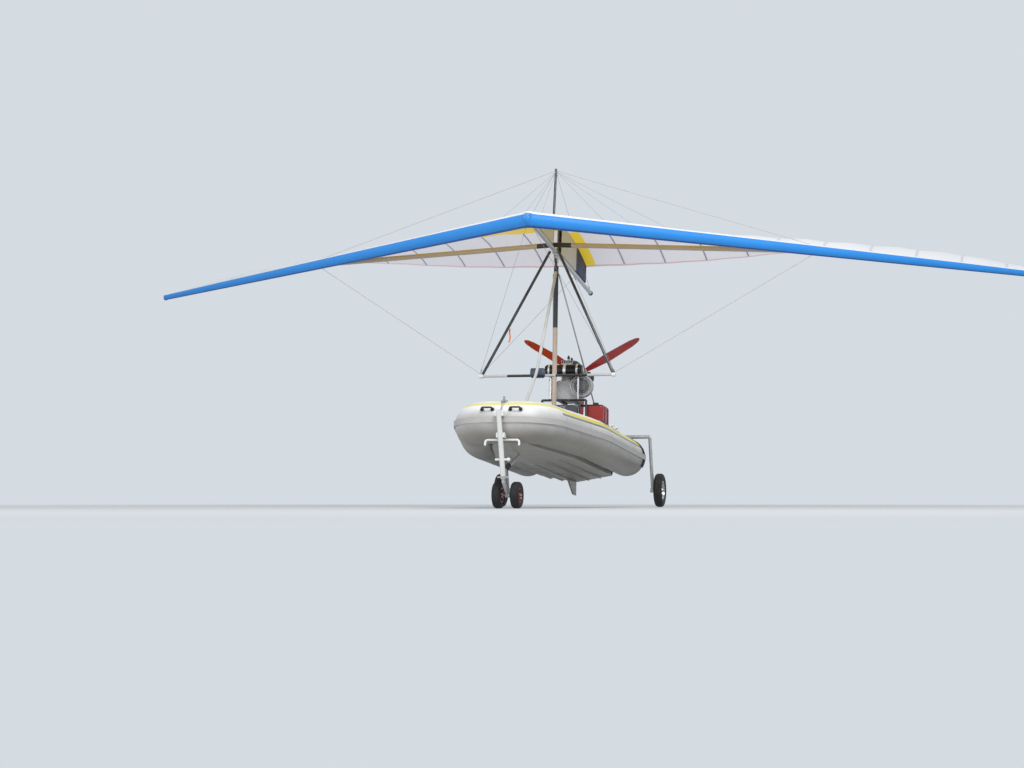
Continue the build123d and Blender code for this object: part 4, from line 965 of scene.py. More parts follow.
for seat_name, seat_aft, seat_up in seat_places:
    base = slab((seat_width - 2 * inset, seat_length - 2 * inset, seat_thick - inset), pad_corner, base_rim)
    back = slab((seat_width - 2 * inset, back_length - 2 * inset, back_thick - inset), pad_corner, back_rim)
    base_place = (0, seat_aft + seat_length / 2, seat_up - seat_thick / 2 - 0.002)
    back_foot = np.array([0, seat_aft + seat_length - back_thick / 2, seat_up - back_thick])
    back_middle = back_foot + back_axes[1] * (back_length / 2 + 0.01) - back_axes[2] * back_thick / 2

    def base_at(points):
        return from_boat(points + base_place)

    def back_at(points):
        return from_boat(back_middle + points @ back_axes)

    cushion = seat_pad(seat_name + "_seat_cushion", base, base_at, seat_cloth.material)
    seat_pad(seat_name + "_seat_back", back, back_at, seat_cloth.material)
    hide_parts(seat_name + "_seat")

    piping = tube(base_at(piping_loop(seat_thick / 2 - 0.004)), piping_radius, 8)
    piping = piping + tube(back_at(piping_loop(back_thick / 2 - 0.003)), piping_radius, 8, up=(1, 0, 0.2))
    piece(seat_name + "_seat_piping", piping, piping_cloth)

    belts = []
    for side in (-1, 1):
        line = rounded_path(belt_side * (side, 1, 1), [0.03, 0.05, 0.05], 0.008)
        belts.append(strap(line, frames_along(line, (0, 0.97, 0.24))[2], belt_half, belt_thick))
    piece(seat_name + "_lap_belt", joined(belts).through(base_at), webbing.material)
    buckle = slab((0.062, 0.050, 0.016), 0.008, 0.004).moved((0, -0.008, 0.058)).through(base_at)
    piece(seat_name + "_belt_buckle", buckle, black_rubber)


# Instrument pod
# A moulded housing clamped to the front strut. Its sloping face towards the seat carries two round gauges
# with glasses and bezels, and a row of switches.

pod_shell = worn("pod_shell", (0.030, 0.045, 0.075), (0.050, 0.070, 0.105), 9, (0.30, 0.45), 0.0003, 300.0)
paint(pod_shell, "instrument_pod")
pod_lean = np.radians(-20)
pod_foot = np.array([0, 1.567, 0.528])
pod_depth = 0.08


def on_pod(points):
    """Points drawn with Y as the housing's depth from its front face, leant back with the housing."""
    x, y, z = points.T
    c, s = np.cos(pod_lean), np.sin(pod_lean)
    return from_boat(np.stack([x, y * c - z * s, y * s + z * c], -1) + pod_foot)


def on_face(shape, places):
    """The shape at each of these places of the sloping face."""
    return joined(shape.stuck(place, (0, 1, 0)) for place in places).through(on_pod)


bezel_side = [(0.001, 0), (0.029, 0), (0.029, 0.004), (0.0265, 0.0055), (0.0245, 0.0035), (0.001, 0.0025)]
glass_side = [(0.001, 0.0026), (0.0242, 0.0026), (0.0235, 0.0046), (0.012, 0.0056), (0.001, 0.0058)]
gauge_places = [(-0.037, pod_depth, 0.010), (0.037, pod_depth, 0.010)]
piece("pod_gauges", on_face(lathe(bezel_side, 40), gauge_places), black_rubber)
dial_glass = Finish("gauge_glass", roughness=0.05, coat_weight=1.0)
tick = dial_glass.noise(120, 1)
dial_glass.wear(base_color=dial_glass.mix(tick > 0.62, (0.012, 0.013, 0.015), (0.55, 0.56, 0.55)))
glasses = on_face(lathe(glass_side, 40), gauge_places)
piece("gauge_glasses", glasses, dial_glass.material)
toggle_collar = [(0.001, 0), (0.007, 0), (0.007, 0.003), (0.003, 0.004)]
toggle = lathe(toggle_collar + [(0.0022, 0.014), (0.0035, 0.018), (0.001, 0.019)], 16)
toggle_row = (-0.045, -0.015, 0.015, 0.045)
toggles = joined(toggle.along((x, pod_depth, -0.034), (x, 0.5, -0.08)) for x in toggle_row)
piece("pod_switches", toggles.through(on_pod), bolt_steel)


# Engine
# Two air-cooled cylinders stand on a split crankcase on the bearers. The fan blows through a black duct on
# the port side, where the carburettors sit, and the exhaust runs to a cross drum ahead. A toothed belt turns
# the propeller shaft.

black_enamel = worn(
    "black_enamel", (0.020, 0.020, 0.022), (0.040, 0.040, 0.043), 10, (0.30, 0.50), 0.0002, coat_weight=0.15
)
paint(black_enamel, "engine_mount", "cooling_shroud")
cast_shades = (0.33, 0.33, 0.335), (0.47, 0.47, 0.475)
cast = worn("cast_engine", *cast_shades, 9, (0.40, 0.62), 0.0006, 220.0, metallic=0.6)
paint(cast, "crankcase", "cylinders", "reduction_drive")
fan_coat = Finish("fan_cover_coat", metallic=0.3)
fan_middle, fan_reach = wheel_of("fan_housing")[:2]
fan_out = (fan_coat.axis("X") - fan_middle[0]) ** 2 + (fan_coat.axis("Z") - fan_middle[2]) ** 2
fan_coat.coat(
    fan_coat.noise(8, 4),
    (0.34, 0.34, 0.35),
    (0.46, 0.46, 0.47),
    (0.32, 0.5),
    part=fan_out ** 0.5 < fan_reach * 0.66,
    other=(0.16, 0.16, 0.165),
    normal=fan_coat.bump(fan_coat.noise(260, 2), 0.0003),
)
paint(fan_coat.material, "fan_housing")
filter_coat = Finish("filter_foam")
pleat = filter_coat.axis("X").repeat(0.006)
filter_body = filter_coat.axis("X") > 0.235
filter_shade = filter_coat.mix(filter_body, (0.40, 0.40, 0.41), (0.045, 0.042, 0.040))
filter_coat.wear(
    base_color=filter_coat.mix(filter_coat.noise(18) * 0.4, filter_shade, (0.10, 0.095, 0.09)),
    roughness=filter_coat.dull(filter_coat.noise(12), 0.5, 0.75),
    normal=filter_coat.bump(pleat * filter_body, 0.002),
)
paint(filter_coat.material, "carburettors")
exhaust = Finish("exhaust_steel", metallic=0.9)
heat = exhaust.noise(5, 4)
near_ports = exhaust.between(exhaust.axis("Y") + heat * 0.2, 0.9, 1.15)
across = exhaust.axis("X")
drum_body = (exhaust.axis("Y") < 0.80) * (across > -0.23)
# The bands at ±0.165 are the drum's steel straps; the wide band near the middle is a painted highlight on the
# black drum.
straps_and_highlight_band = ((abs(abs(across) - 0.165) < 0.011) + (abs(across - 0.02) < 0.016)) * drum_body
drum_black = exhaust.mix(heat, (0.018, 0.018, 0.019), (0.040, 0.039, 0.038))
exhaust_shade = exhaust.mix(heat, (0.16, 0.15, 0.145), (0.30, 0.285, 0.27))
exhaust_shade = exhaust.mix(drum_body, exhaust.mix(near_ports, exhaust_shade, (0.34, 0.23, 0.13)), drum_black)
exhaust.wear(
    base_color=exhaust.mix(straps_and_highlight_band, exhaust_shade, (0.72, 0.72, 0.72)),
    roughness=exhaust.dull(heat, 0.24, 0.44),
    normal=exhaust.bump(exhaust.noise(120, 3), 0.0004),
)
paint(exhaust.material, "muffler", "exhaust_pipes")

crankcase_front = 3.06
case_side = 0.131
case_foot, case_height, cylinder_height, head_height = 0.3953, 0.230, 0.190, 0.055
crank_height = case_foot + case_height * 0.55
head_top = case_foot + case_height + cylinder_height + head_height
cylinder_places = (3.155, 3.325)
case_bolts = nuts_at(
    (side * (case_side - 0.010), y, crank_height + 0.006)
    for side in (-1, 1)
    for y in np.linspace(crankcase_front + 0.03, crankcase_front + 0.33, 6)
)
nut_out = (-0.055, 0.055)
head_nuts = nuts_at(
    (x, y + step, head_top - 0.0365) for y in cylinder_places for step in nut_out for x in nut_out
)
piece("engine_bolts", (case_bolts + head_nuts).through(from_boat), bolt_steel, sharp=30)

cap_side = [(0.0135, 0), (0.0155, 0.004), (0.0155, 0.024), (0.010, 0.030), (0.010, 0.040), (0.001, 0.043)]
plug_cap = lathe(cap_side, 16)
plug_caps = joined(plug_cap.moved((0, y, head_top + 0.020)) for y in cylinder_places)
piece("plug_caps", plug_caps.through(from_boat), black_rubber)

belt_angle = np.linspace(0, 2 * np.pi, 120, endpoint=False)
small_pulley = (crank_height, 0.070)
large_pulley = (0.82, 0.090)
pulley_aft = crankcase_front + 0.360
belt_edges = (0.014, 0.046)
pulleys = np.where(np.sin(belt_angle)[:, None] > 0, large_pulley, small_pulley)
belt_reach = pulleys[:, 1] * 1.02
belt_line = np.stack(
    [
        belt_reach * np.cos(belt_angle),
        0 * belt_angle + pulley_aft,
        pulleys[:, 0] + belt_reach * np.sin(belt_angle),
    ],
    -1,
)
belt_line = np.concatenate([belt_line, belt_line[:1]])
drive_belt = cloth(belt_line[:, None] + np.outer(belt_edges, astern), 0.004)
piece("drive_belt", drive_belt.through(from_boat), black_rubber)


# Fuel tank
# A blown plastic tank, red through and through, with a black screw cap. Two webbing straps hold it on its
# shelf beside the engine.

tank = Finish("tank_plastic", subsurface_weight=0.05)
tank_cloud = tank.noise(7, 4)
# The tank is darker below about 0.96 m up and lighter above.
tank_darker_below = tank.between(tank.axis("Z"), 0.96, 0.98)
tank_shade = tank.mix(tank_darker_below, (0.17, 0.010, 0.009), (0.33, 0.020, 0.016))
tank_shade = tank.mix(tank_cloud * 0.4, tank_shade, (0.42, 0.045, 0.030))
tank.wear(
    base_color=tank.mix(tank.axis("Z") > 1.172, tank_shade, (0.02, 0.02, 0.022)),
    roughness=tank.dull(tank_cloud, 0.28, 0.45),
    normal=tank.bump(tank.noise(60, 2), 0.0004),
)
paint(tank.material, "fuel_tank")
tank_ring = [(0.36, 0.333), (0.463, 0.333), (0.463, 0.017), (0.257, 0.017), (0.257, 0.333), (0.36, 0.333)]
tank_strap_half = 0.0125
tank_straps = []
for y in (3.06, 3.22):
    ring = rounded_path([(x, y, z) for x, z in tank_ring], [0.038] * 4, 0.008)
    tank_straps.append(strap(ring, astern, tank_strap_half, strap_thick))
piece("tank_straps", joined(tank_straps).through(from_boat), webbing.material)


# Propeller
# A three-bladed wooden-cored propeller, sprayed red, with metal-sheathed leading edges, clamped between two
# bolted hub plates.

hub_aft, hub_up, blade_reach = 3.85, 0.82, 0.82
paint(alloy, "propeller_hub")
blade_red = Finish("propeller_red", coat_weight=0.7, coat_roughness=0.1)
blade_cloud = blade_red.noise(6, 4)
blade_grain = blade_red.noise(40, 2, 0.5, blade_red.place(stretch=(1, 1, 0.1)))
sheath = blade_red.mark("sheathed")
blade_red.coat(
    blade_cloud,
    (0.34, 0.006, 0.006),
    (0.44, 0.010, 0.009),
    (0.18, 0.34),
    part=sheath,
    other=(0.46, 0.46, 0.46),
    metallic=sheath * 0.9,
    normal=blade_red.bump(blade_grain, 0.0002),
)
out_share = np.linspace(0.09, 1.0, 60)
blade_table = np.array(
    [
        (0.07, 0.060, 0.036, 38),
        (0.22, 0.095, 0.026, 31),
        (0.45, 0.130, 0.018, 24),
        (0.85, 0.100, 0.010, 14),
        (1.0, 0.055, 0.006, 12),
    ]
)
chord, thick, pitch = (np.interp(out_share, blade_table[:, 0], blade_table[:, k])[:, None] for k in (1, 2, 3))
tip = np.sqrt(np.clip(1 - ((out_share - 0.93) / 0.0705).clip(0) ** 2, 0.02, 1))[:, None]
turn = np.linspace(0, 2 * np.pi, 40, endpoint=False)[None, :]
across = chord * blade_reach / 2 * np.cos(turn) * tip
deep = thick * blade_reach / 2 * np.where(np.sin(turn) > 0, np.sin(turn), 0.4 * np.sin(turn)) * tip
lean = np.radians(pitch)
blade_x = across * np.cos(lean) - deep * np.sin(lean)
blade_y = across * np.sin(lean) + deep * np.cos(lean)
blade_points = np.stack([blade_x, blade_y, blade_reach * out_share[:, None] + 0 * across], -1)
edge_mark = (np.cos(turn) < -0.93) & (out_share[:, None] > 0.45)
one_blade = grid(blade_points, around=True, capped=True, marks={"sheathed": edge_mark.astype(float)})


def spun(shape, degrees):
    """The shape turned about the propeller's shaft and set on the hub."""
    angle = np.radians(degrees)
    c, s = np.cos(angle), np.sin(angle)
    x, y, z = shape.points.T
    points = np.stack([x * c + z * s, y + hub_aft, z * c - x * s + hub_up], -1)
    return Shape(points, shape.faces, shape.marks).through(from_boat)


blades = joined(spun(one_blade, 60 - 120 * index) for index in range(3))
red = blade_red.material
piece("propeller_blades_dressed", blades, red, "propeller", 50, ["propeller_blades"])
bolt_circle = 0.048
hub_turns = np.radians(60 * np.arange(6) + 30)
hub_ring = [(bolt_circle * np.cos(turn), 0.030, bolt_circle * np.sin(turn)) for turn in hub_turns]
hub_nuts = [hex_nut.stuck(place, astern) for place in hub_ring]
piece("hub_bolts", spun(joined(hub_nuts), 0), bolt_steel, "propeller", 30)


# Hang block
# An aluminium block that rolls on the keel tube, with cheeks on either side of the mast's tongue. Hexagon
# bolts hold the cheeks.

paint(alloy, "hang_block")
wing_turn = np.radians(-8.778533)
wing_aft = -1.089569
wing_up = 3.143320


def from_wing(points):
    """Points of the wing's frame in the row's: turned about X by its angle to the floor, then moved."""
    x, y, z = np.moveaxis(np.asarray(points, float), -1, 0)
    c, s = np.cos(wing_turn), np.sin(wing_turn)
    return np.stack([x, y * c - z * s + wing_aft, y * s + z * c + wing_up], -1)


hang_station = 1.48
cheek_out = 0.022
block_bolts = [
    hex_nut.stuck((side * cheek_out, hang_station + step, -0.045), (side, 0, 0))
    for side in (-1, 1)
    for step in (-0.015, 0.015)
]
piece("hang_block_bolts", joined(block_bolts).through(from_wing), bolt_steel, "hang_block", 30)


# Keel tube, nose plate, cross bar, king post and control frame
# Anodised tubes: the keel with its black end cap, the cross bar with a dark wrap at its middle and ends, the
# king post, the black streamlined uprights and the base bar with its grips.

paint(alloy, "nose_plate")
end_black = (0.022, 0.022, 0.024)
keel_coat = Finish("keel_alloy", metallic=0.85)
keel_coat.coat(
    keel_coat.noise(7, 4),
    (0.50, 0.51, 0.52),
    (0.62, 0.625, 0.63),
    (0.26, 0.45),
    part=keel_coat.axis("Y") > 2.225,
    other=(0.02, 0.02, 0.022),
)
paint(keel_coat.material, "keel_tube")
tan = Finish("tan_tube", coat_weight=0.15)
out_along = abs(tan.axis("X"))
tan.coat(
    tan.noise(6, 4),
    (0.45, 0.35, 0.24),
    (0.55, 0.45, 0.33),
    (0.34, 0.52),
    part=(out_along < 0.20).either(out_along > 2.78),
    other=end_black,
    normal=tan.bump(tan.noise(200, 2), 0.0002),
)
paint(tan.material, "crossbar")
black_shades = (0.022, 0.022, 0.025), (0.045, 0.045, 0.05)
black_alloy = worn("black_alloy", *black_shades, 9, (0.22, 0.38), 0.00002, coat_weight=0.3)
paint(black_alloy, "uprights", "king_post")
bar_coat = Finish("base_bar_grips")
bar_along = bar_coat.axis("X")
grip = (abs(bar_along) > 0.10) * (abs(bar_along) < 0.46)
bar_coat.coat(
    bar_coat.noise(9, 4),
    (0.42, 0.42, 0.43),
    (0.55, 0.55, 0.56),
    (0.30, 0.5),
    part=grip,
    other=end_black,
    normal=bar_coat.bump(bar_along.repeat(0.008) * grip, 0.002),
)
paint(bar_coat.material, "base_bar")


# Leading edges
# Deep pockets of bright blue cloth over foam and film, drawn round the leading-edge tubes. They run from the
# nose, where a fitted cover closes the gap between them, to a moulded cap at each tip.

half_span, root_gap = 5.5, 0.03
edge_front = (0.03, 3.05)
edge_round = (0.088, 0.038)
edge_deep = (0.300, 0.110)
edge_bow = 0.004
edge_lap = 0.0035
cloth_thick = 0.0016
sail_stations = np.array(
    [
        (0.03, 0.105, 0.330, 0.230, 3.000),
        (1.40, 0.087, 0.275, 0.255, 3.015),
        (2.75, 0.070, 0.275, 0.370, 3.030),
        (4.20, 0.046, 0.215, 0.385, 3.246),
        (5.50, 0.024, 0.085, 0.130, 3.440),
    ]
)


def at_span(x):
    """The leading edge's front, radius and depth, and the sail's front, peak, back and aft, so far out."""
    share = (x - root_gap) / (half_span - root_gap)
    edge = [low + share * (high - low) for low, high in (edge_front, edge_round, edge_deep)]
    return edge + [np.interp(x, sail_stations[:, 0], sail_stations[:, k]) for k in (1, 2, 3, 4)]


def edge_cloth(x, columns=15):
    """Points round the leading edge at each distance out: the lower flank from the sail forwards, a half
    circle round the nose, and the upper flank back. The flanks bow out by a few millimetres."""
    y, radius, deep, high = (value[:, None] for value in at_span(x)[:4])
    share = np.linspace(0, 1, columns)[None, :]
    bow = np.sin(np.pi * share) * edge_bow
    angle = np.linspace(-np.pi / 2, np.pi / 2, columns)[None, :]
    back, nose = y + deep, y + radius
    low_z = (high - edge_lap) + (-radius - high + edge_lap) * share - bow
    low = np.stack([back + (nose - back) * share, low_z], -1)
    turn = np.stack([nose - radius * np.cos(angle), radius * np.sin(angle)], -1)
    top = np.stack([nose + (back - nose) * share, radius + (high + edge_lap - radius) * share + bow], -1)
    line = np.concatenate([low[:, :-1], turn, top[:, 1:]], axis=1)
    return np.concatenate([np.broadcast_to(x[:, None, None], line.shape[:2] + (1,)), line], -1)


edge_x = np.linspace(root_gap, half_span, 120)
edge_points = edge_cloth(edge_x)
blue = Finish("edge_cloth", sheen_weight=0.15)
blue_cloud = blue.noise(2.5, 5)
blue_weave = blue.noise(700, 1, 0.4)
blue_pucker = blue.noise(9, 3, 0.5, blue.place(stretch=(1.6, 0.5, 1)))
# Painted shadow: a dark blue line along the lower flank of the leading edge, near the bottom of its round.
low_edge_shadow = abs(blue.mark("section") + 0.82) < 0.14
blue_shade = blue.mix(blue_cloud, (0.008, 0.21, 0.64), (0.014, 0.27, 0.76))
blue_shade = blue.mix(low_edge_shadow, blue_shade, (0.008, 0.07, 0.36))
blue_top = blue.mix(blue_cloud, (0.76, 0.765, 0.78), (0.84, 0.845, 0.85))
blue.wear(
    base_color=blue.mix(blue.mark("over") > 0.0, blue_shade, blue_top),
    roughness=blue.dull(blue_cloud, 0.42, 0.6),
    normal=blue.bump(blue_weave * 0.1 + blue_pucker * 0.6, 0.003),
)
section = np.concatenate([np.full(14, -1.0), np.linspace(-1, 1, 15), np.full(14, 1.0)])[None, :]
white_from = np.interp(edge_x, [0, 2.75, 4.5, 5.5], [0.37, 0.44, 0.44, 0.30])[:, None]
edge_sheet = cloth(edge_points, cloth_thick, {"section": section, "over": section - white_from})
for side_name, side in flanks:
    name, node = "leading_edge_cloth_" + side_name, "leading_edge_" + side_name
    shape = edge_sheet.on_side(side).through(from_wing)
    cloth_piece = piece(name, shape, blue.material, "wing", 40, [node])

cover_half, cover_lift = 0.055, 0.0028
bulge_half, bulge_high = 0.045, 0.036
cover_back, cover_back_up = 0.235, 0.109
cover_x = np.linspace(-cover_half, cover_half, 23)
cover_y, cover_round = at_span(np.maximum(np.abs(cover_x), root_gap))[:2]
bulge = np.cos(np.clip(np.abs(cover_x) / bulge_half, 0, 1) * np.pi / 2)[:, None] * bulge_high
cover_turn = np.linspace(-np.pi / 2, np.pi / 2, 25)[None, :]
grown = cover_round[:, None] + cover_lift
nose_y = cover_y[:, None] + cover_round[:, None] - (grown + bulge) * np.cos(cover_turn)
top_run = np.linspace(0.02, cover_back, 8)[None, :]
top_z = grown + (cover_back_up - grown) * (top_run / cover_back)
cover_lines_y = np.concatenate([nose_y, cover_y[:, None] + cover_round[:, None] + top_run], 1)
cover_lines_z = np.concatenate([grown * np.sin(cover_turn), top_z + 0 * bulge], 1)
cover_points = np.stack([cover_x[:, None] + 0 * cover_lines_y, cover_lines_y, cover_lines_z], -1)
cover_section = np.append(np.linspace(-1, 1, 25), np.ones(8))[None, :]
cover_marks = {"section": cover_section, "over": cover_section - white_from[0]}
cover = cloth(cover_points, cloth_thick, cover_marks).through(from_wing)
nose_cover = piece("nose_cover", cover, blue.material, "wing")

tip_loop = edge_cloth(np.array([half_span - 0.03, half_span]))
tip_middle = tip_loop[1].mean(axis=0)
tip_rows = [(-0.030, 1.04), (0.0, 1.04), (0.006, 0.92), (0.009, 0.60), (0.010, 0.10)]
tip_points = np.array(
    [tip_middle + (tip_loop[1] - tip_middle) * (1, size, size) + (out, 0, 0) for out, size in tip_rows]
)
tip_cap = grid(tip_points[:, :42], around=True, capped=True)
tip_plastic = worn("tip_plastic", (0.012, 0.10, 0.50), (0.018, 0.14, 0.60), 14, (0.3, 0.42), 0.0002)
piece("tip_caps", tip_cap.mirrored().through(from_wing), tip_plastic, "wing")


# Sail halves
# White laminate above and below, sewn chordwise over battens, with a yellow panel behind the blue near the
# keel and a pinkish hem. The underside glows in its own colour: painted light for the light through the
# cloth.
# Each half is stretched from the leading edge to the keel and the tip, and a centre panel bridges the two
# above the keel.

batten_pitch = 0.50
peak_share = 0.35
billow_high, scallop_deep = 0.006, 0.018
sail_thick = 0.0024
panel_half, panel_lift = 0.05, 0.0024


def arc_through(first, middle, last, share):
    """Points on the circle through three points of a plane, at shares of the way round from the first."""
    first, middle, last = (np.stack(point, -1) for point in (first, middle, last))
    a, b = middle - first, last - first
    cross = 2 * (a[:, 0] * b[:, 1] - a[:, 1] * b[:, 0])
    aa, bb = (a * a).sum(-1), (b * b).sum(-1)
    centre = first + np.stack([b[:, 1] * aa - a[:, 1] * bb, a[:, 0] * bb - b[:, 0] * aa], -1) / cross[:, None]
    start = np.arctan2(*(first - centre).T[::-1])
    stop = np.arctan2(*(last - centre).T[::-1])
    angle = start[:, None] + (stop - start)[:, None] * share
    radius = np.linalg.norm(first - centre, axis=1)[:, None]
    return centre[:, None] + np.stack([radius * np.cos(angle), radius * np.sin(angle)], -1)


def eased(values, reach=18):
    """The values with their corners rounded: each becomes the mean of those up to the reach on either side,
    where the row is carried on in line past its ends."""
    longer = np.pad(values, reach, "reflect", reflect_type="odd")
    return np.convolve(longer, np.ones(2 * reach + 1) / (2 * reach + 1), "valid")


sail_x = np.linspace(root_gap, half_span, 166)
chord_share = np.linspace(0, 1, 60)[None, :]
edge_y, _, edge_depth, front_up, peak_up, back_up, sail_aft = at_span(sail_x)
peak_up, back_up = eased(peak_up), eased(back_up)
sail_front = edge_y + edge_depth + 0.0003
peak_y = sail_front + peak_share * (sail_aft - sail_front)
arcs = arc_through((sail_front, front_up), (peak_y, peak_up), (sail_aft, back_up), chord_share)
billow = np.sin(np.pi * chord_share) * billow_high * np.cos(2 * np.pi * sail_x[:, None] / batten_pitch)
scallop = scallop_deep * np.sin(np.pi * (sail_x / batten_pitch % 1)) ** 2 * (sail_x < 5.2)
sail_y = arcs[:, :, 0] - scallop[:, None] * chord_share ** 6
sail_points = np.stack([sail_x[:, None] + 0 * sail_y, sail_y, arcs[:, :, 1] - billow], -1)

# The sail glows on its underside in its own colour: painted light standing for the light through the cloth.
sail_white = Finish("sail_cloth", emission_strength=0.38)
sail_cloud = sail_white.noise(1.6, 5)
sail_weave = sail_white.noise(600, 1, 0.4)
along_chord = sail_white.mark("along_chord")
out_x = abs(sail_white.axis("X"))
batten = sail_white.between(out_x.repeat(batten_pitch), 0.022, 0.013) * (out_x > 0.30)
stitch = sail_white.between(abs(out_x.repeat(batten_pitch) - 0.036), 0.004, 0.002) * (out_x > 0.30)
underneath = sail_white.mark("underneath")
above = sail_white.mix(sail_cloud, (0.76, 0.765, 0.78), (0.84, 0.845, 0.85))
below = sail_white.mix(sail_cloud, (0.68, 0.67, 0.73), (0.76, 0.75, 0.80))
sail_shade = sail_white.mix(underneath, above, below)
dark_line = sail_white.mix(underneath, (0.62, 0.62, 0.66), (0.22, 0.23, 0.30))
sail_shade = sail_white.mix(batten, sail_shade, dark_line)
sail_shade = sail_white.mix(stitch * 0.5, sail_shade, (0.40, 0.41, 0.46))
sail_side = sail_white.axis("X")
station = sail_white.mark("station")
band_head = (sail_side > -0.12) * (sail_side < 0.15) * (station > 1.93) * (station < 2.08)
port_band = (sail_side > 0.03) * (sail_side < 0.15) * (station > 1.93)
yellow_panels = port_band.either(band_head.either(station < 1.86))
sail_shade = sail_white.mix(underneath * yellow_panels, sail_shade, (0.82, 0.60, 0.03))
sail_shade = sail_white.mix(along_chord > 0.985, sail_shade, (0.62, 0.42, 0.44))
sail_white.wear(
    base_color=sail_shade,
    emission_color=sail_white.mix(underneath, (0, 0, 0), sail_shade),
    roughness=sail_white.dull(sail_cloud, 0.40, 0.55),
    normal=sail_white.bump(sail_weave * 0.04 + batten * 0.8 + sail_cloud * 0.3, 0.004),
)
sheet = cloth(sail_points, sail_thick, {"along_chord": chord_share, "station": sail_y})
half_count = sail_points.shape[1]
sheet.marks["underneath"] = np.tile(np.repeat([0.0, 1.0], half_count), len(sail_x))
for side_name, side in flanks:
    name, node = "sail_sheet_" + side_name, "sail_" + side_name
    shape = sheet.on_side(side).through(from_wing)
    sail_piece = piece(name, shape, sail_white.material, "wing", 40, [node])

panel_reach = np.outer(np.linspace(-panel_half, panel_half, 9), (1, 0, 0))
panel_points = sail_points[0][:, None] * (0, 1, 1) + (0, 0, panel_lift) + panel_reach
panel_cloth = cloth(panel_points, cloth_thick).through(from_wing)
centre_panel = piece("centre_panel", panel_cloth, sail_white.material, "wing")


# Keel pocket
# A deep cloth pocket hangs from the sail's root to the keel tube, beige ahead and navy behind. It is open
# round the king post and the hang block.

pocket_half, pocket_floor, pocket_round = 0.026, 0.0265, 0.012
pocket_runs = [(0.335, 1.198), (1.612, 2.985)]


def pocket_walls(start, end):
    """Points of a U-shaped wall at each station along the keel: down one side, round below, up the other."""
    y = np.linspace(start, end, 60)
    rise = np.interp(y, arcs[0, :, 0], arcs[0, :, 1])[:, None] - 0.006
    turn = np.linspace(-np.pi / 2, np.pi / 2, 13)[None, :]
    side = np.linspace(0, 1, 12)[None, :]
    round_x, round_z = pocket_half * np.sin(turn), pocket_floor + pocket_round * (1 - np.cos(turn))
    wall = rise + (pocket_floor + pocket_round - rise) * side
    level = 0 * y[:, None]
    x = np.concatenate([0 * wall - pocket_half, round_x[:, 1:-1] + level, 0 * wall + pocket_half], 1)
    z = np.concatenate([wall, round_z[:, 1:-1] + level, wall[:, ::-1]], 1)
    return np.stack([x, y[:, None] + 0 * x, z], -1)


pocket = Finish("pocket_cloth")
pocket_cloud = pocket.noise(5, 4)
pocket.coat(
    pocket_cloud,
    (0.56, 0.53, 0.47),
    (0.66, 0.63, 0.57),
    (0.5, 0.7),
    part=pocket.mark("rear"),
    other=pocket.mix(pocket_cloud, (0.012, 0.020, 0.070), (0.022, 0.034, 0.105)),
    normal=pocket.bump(pocket.noise(700, 1, 0.4) * 0.1 + pocket.noise(11, 3) * 0.5, 0.003),
)
pocket_shapes = []
for run in pocket_runs:
    rear = np.linspace(*run, 60)[:, None] > 2.42
    pocket_shapes.append(cloth(pocket_walls(*run), cloth_thick, {"rear": rear.astype(float)}))
pocket_shape = joined(pocket_shapes).through(from_wing)
pocket_piece = piece(
    "keel_pocket_cloth", pocket_shape, pocket.material, "wing", 40, ["keel_pocket"]
)


# Rigging
# Stainless wires with swaged ends brace the wing: side wires below and above, fore and aft wires from the
# control frame, upper wires from the king post, and thin luff lines down to the sail's trailing edge. An
# orange ribbon tied to the starboard upright shows the wind.

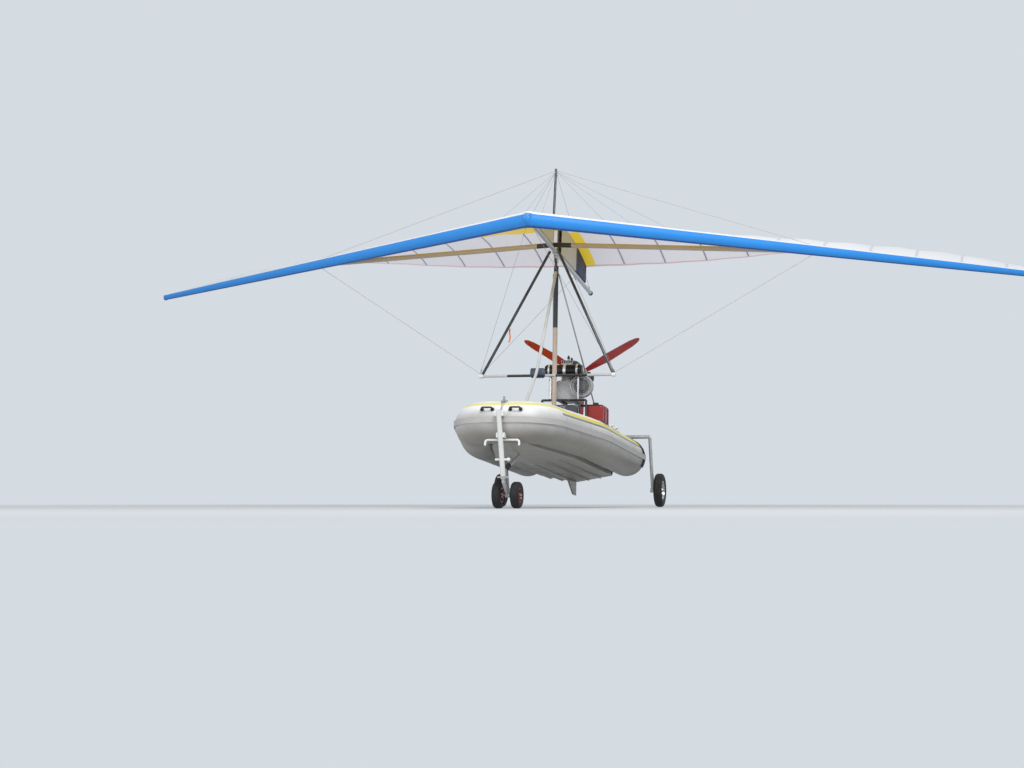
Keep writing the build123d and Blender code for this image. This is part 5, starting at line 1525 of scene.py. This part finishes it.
wire_steel = worn("wire_steel", (0.30, 0.30, 0.31), (0.42, 0.42, 0.43), 90, (0.25, 0.4), 0.0001, metallic=1.0)
wire_cover = worn("wire_cover", (0.34, 0.34, 0.31), (0.44, 0.44, 0.40), 40, (0.35, 0.5), 0.0001)
paint(wire_cover, "side_wires")
wrap_white = worn("white_wrap", (0.66, 0.66, 0.65), (0.78, 0.78, 0.77), 20, (0.5, 0.7), 0.0004, 500.0)
paint(wrap_white, "corner_fittings")
swage = lathe([(0.001, 0), (0.0048, 0.001), (0.0048, 0.045), (0.0030, 0.050), (0.001, 0.050)], 12)
corner_place = np.array([0.771, 1.226, -1.493])
post_head = np.array([0, 1.318, 0.925])
keel_eye = np.array([0, 2.45, -0.034])


def wire(start, end, radius=0.0018, ends=True):
    """A wire between two points, with a swage on each end where ends is set."""
    start, end = np.asarray(start, float), np.asarray(end, float)
    shape = rod(start, end, radius, 8)
    if ends:
        inward = (end - start) / np.linalg.norm(end - start)
        shape = shape + swage.along(start + inward * 0.03, end) + swage.along(end - inward * 0.03, start)
    return shape


def both_sides(start, end, **options):
    """A wire and its image on the other side."""
    return wire(start, end, **options).mirrored()


low_wires = both_sides(corner_place + (0.004, -0.018, 0.016), (0.012, 0.12, -0.026))
low_wires += both_sides(corner_place + (0.004, 0.018, 0.016), keel_eye)
low_wires += rod(keel_eye + (0, 0, 0.010), keel_eye - (0, 0, 0.006), 0.005)
piece("fore_and_aft_wires", low_wires.through(from_wing), wire_steel, "wing")
top_wires = wire(post_head, (0, 0.16, 0.036)) + wire(post_head, (0, 3.355, 0.030))
piece("king_post_wires", top_wires.through(from_wing), wire_steel, "wing")
luff_rows = [np.argmin(np.abs(sail_x - out)) for out in (0.75, 1.25, 1.75)]
luff_ends = [sail_points[row, -1] + (0, -0.004, 0.002) for row in luff_rows]
luff_lines = joined(
    both_sides(post_head + (0.004, 0.006, -0.01), end, radius=0.0012, ends=False) for end in luff_ends
)
piece("luff_lines", luff_lines.through(from_wing), wire_steel, "wing")

ribbon_x = np.linspace(0, 1, 20)
flutter = np.stack(
    [-0.47 - 0.006 * np.sin(7 * ribbon_x), 1.302 + 0.010 * np.sin(5 * ribbon_x), -0.93 - 0.16 * ribbon_x], -1
)
ribbon_orange = worn("ribbon_orange", (0.75, 0.16, 0.02), (0.85, 0.24, 0.04), 30, (0.6, 0.75), 0.0002, 600.0)
ribbon_strip = cloth(flutter[:, None] + np.array([[-0.008, 0, 0], [0.008, 0.004, 0]]), 0.0008)
ribbon = piece("tell_tale_ribbon", ribbon_strip.through(from_wing), ribbon_orange, "wing")
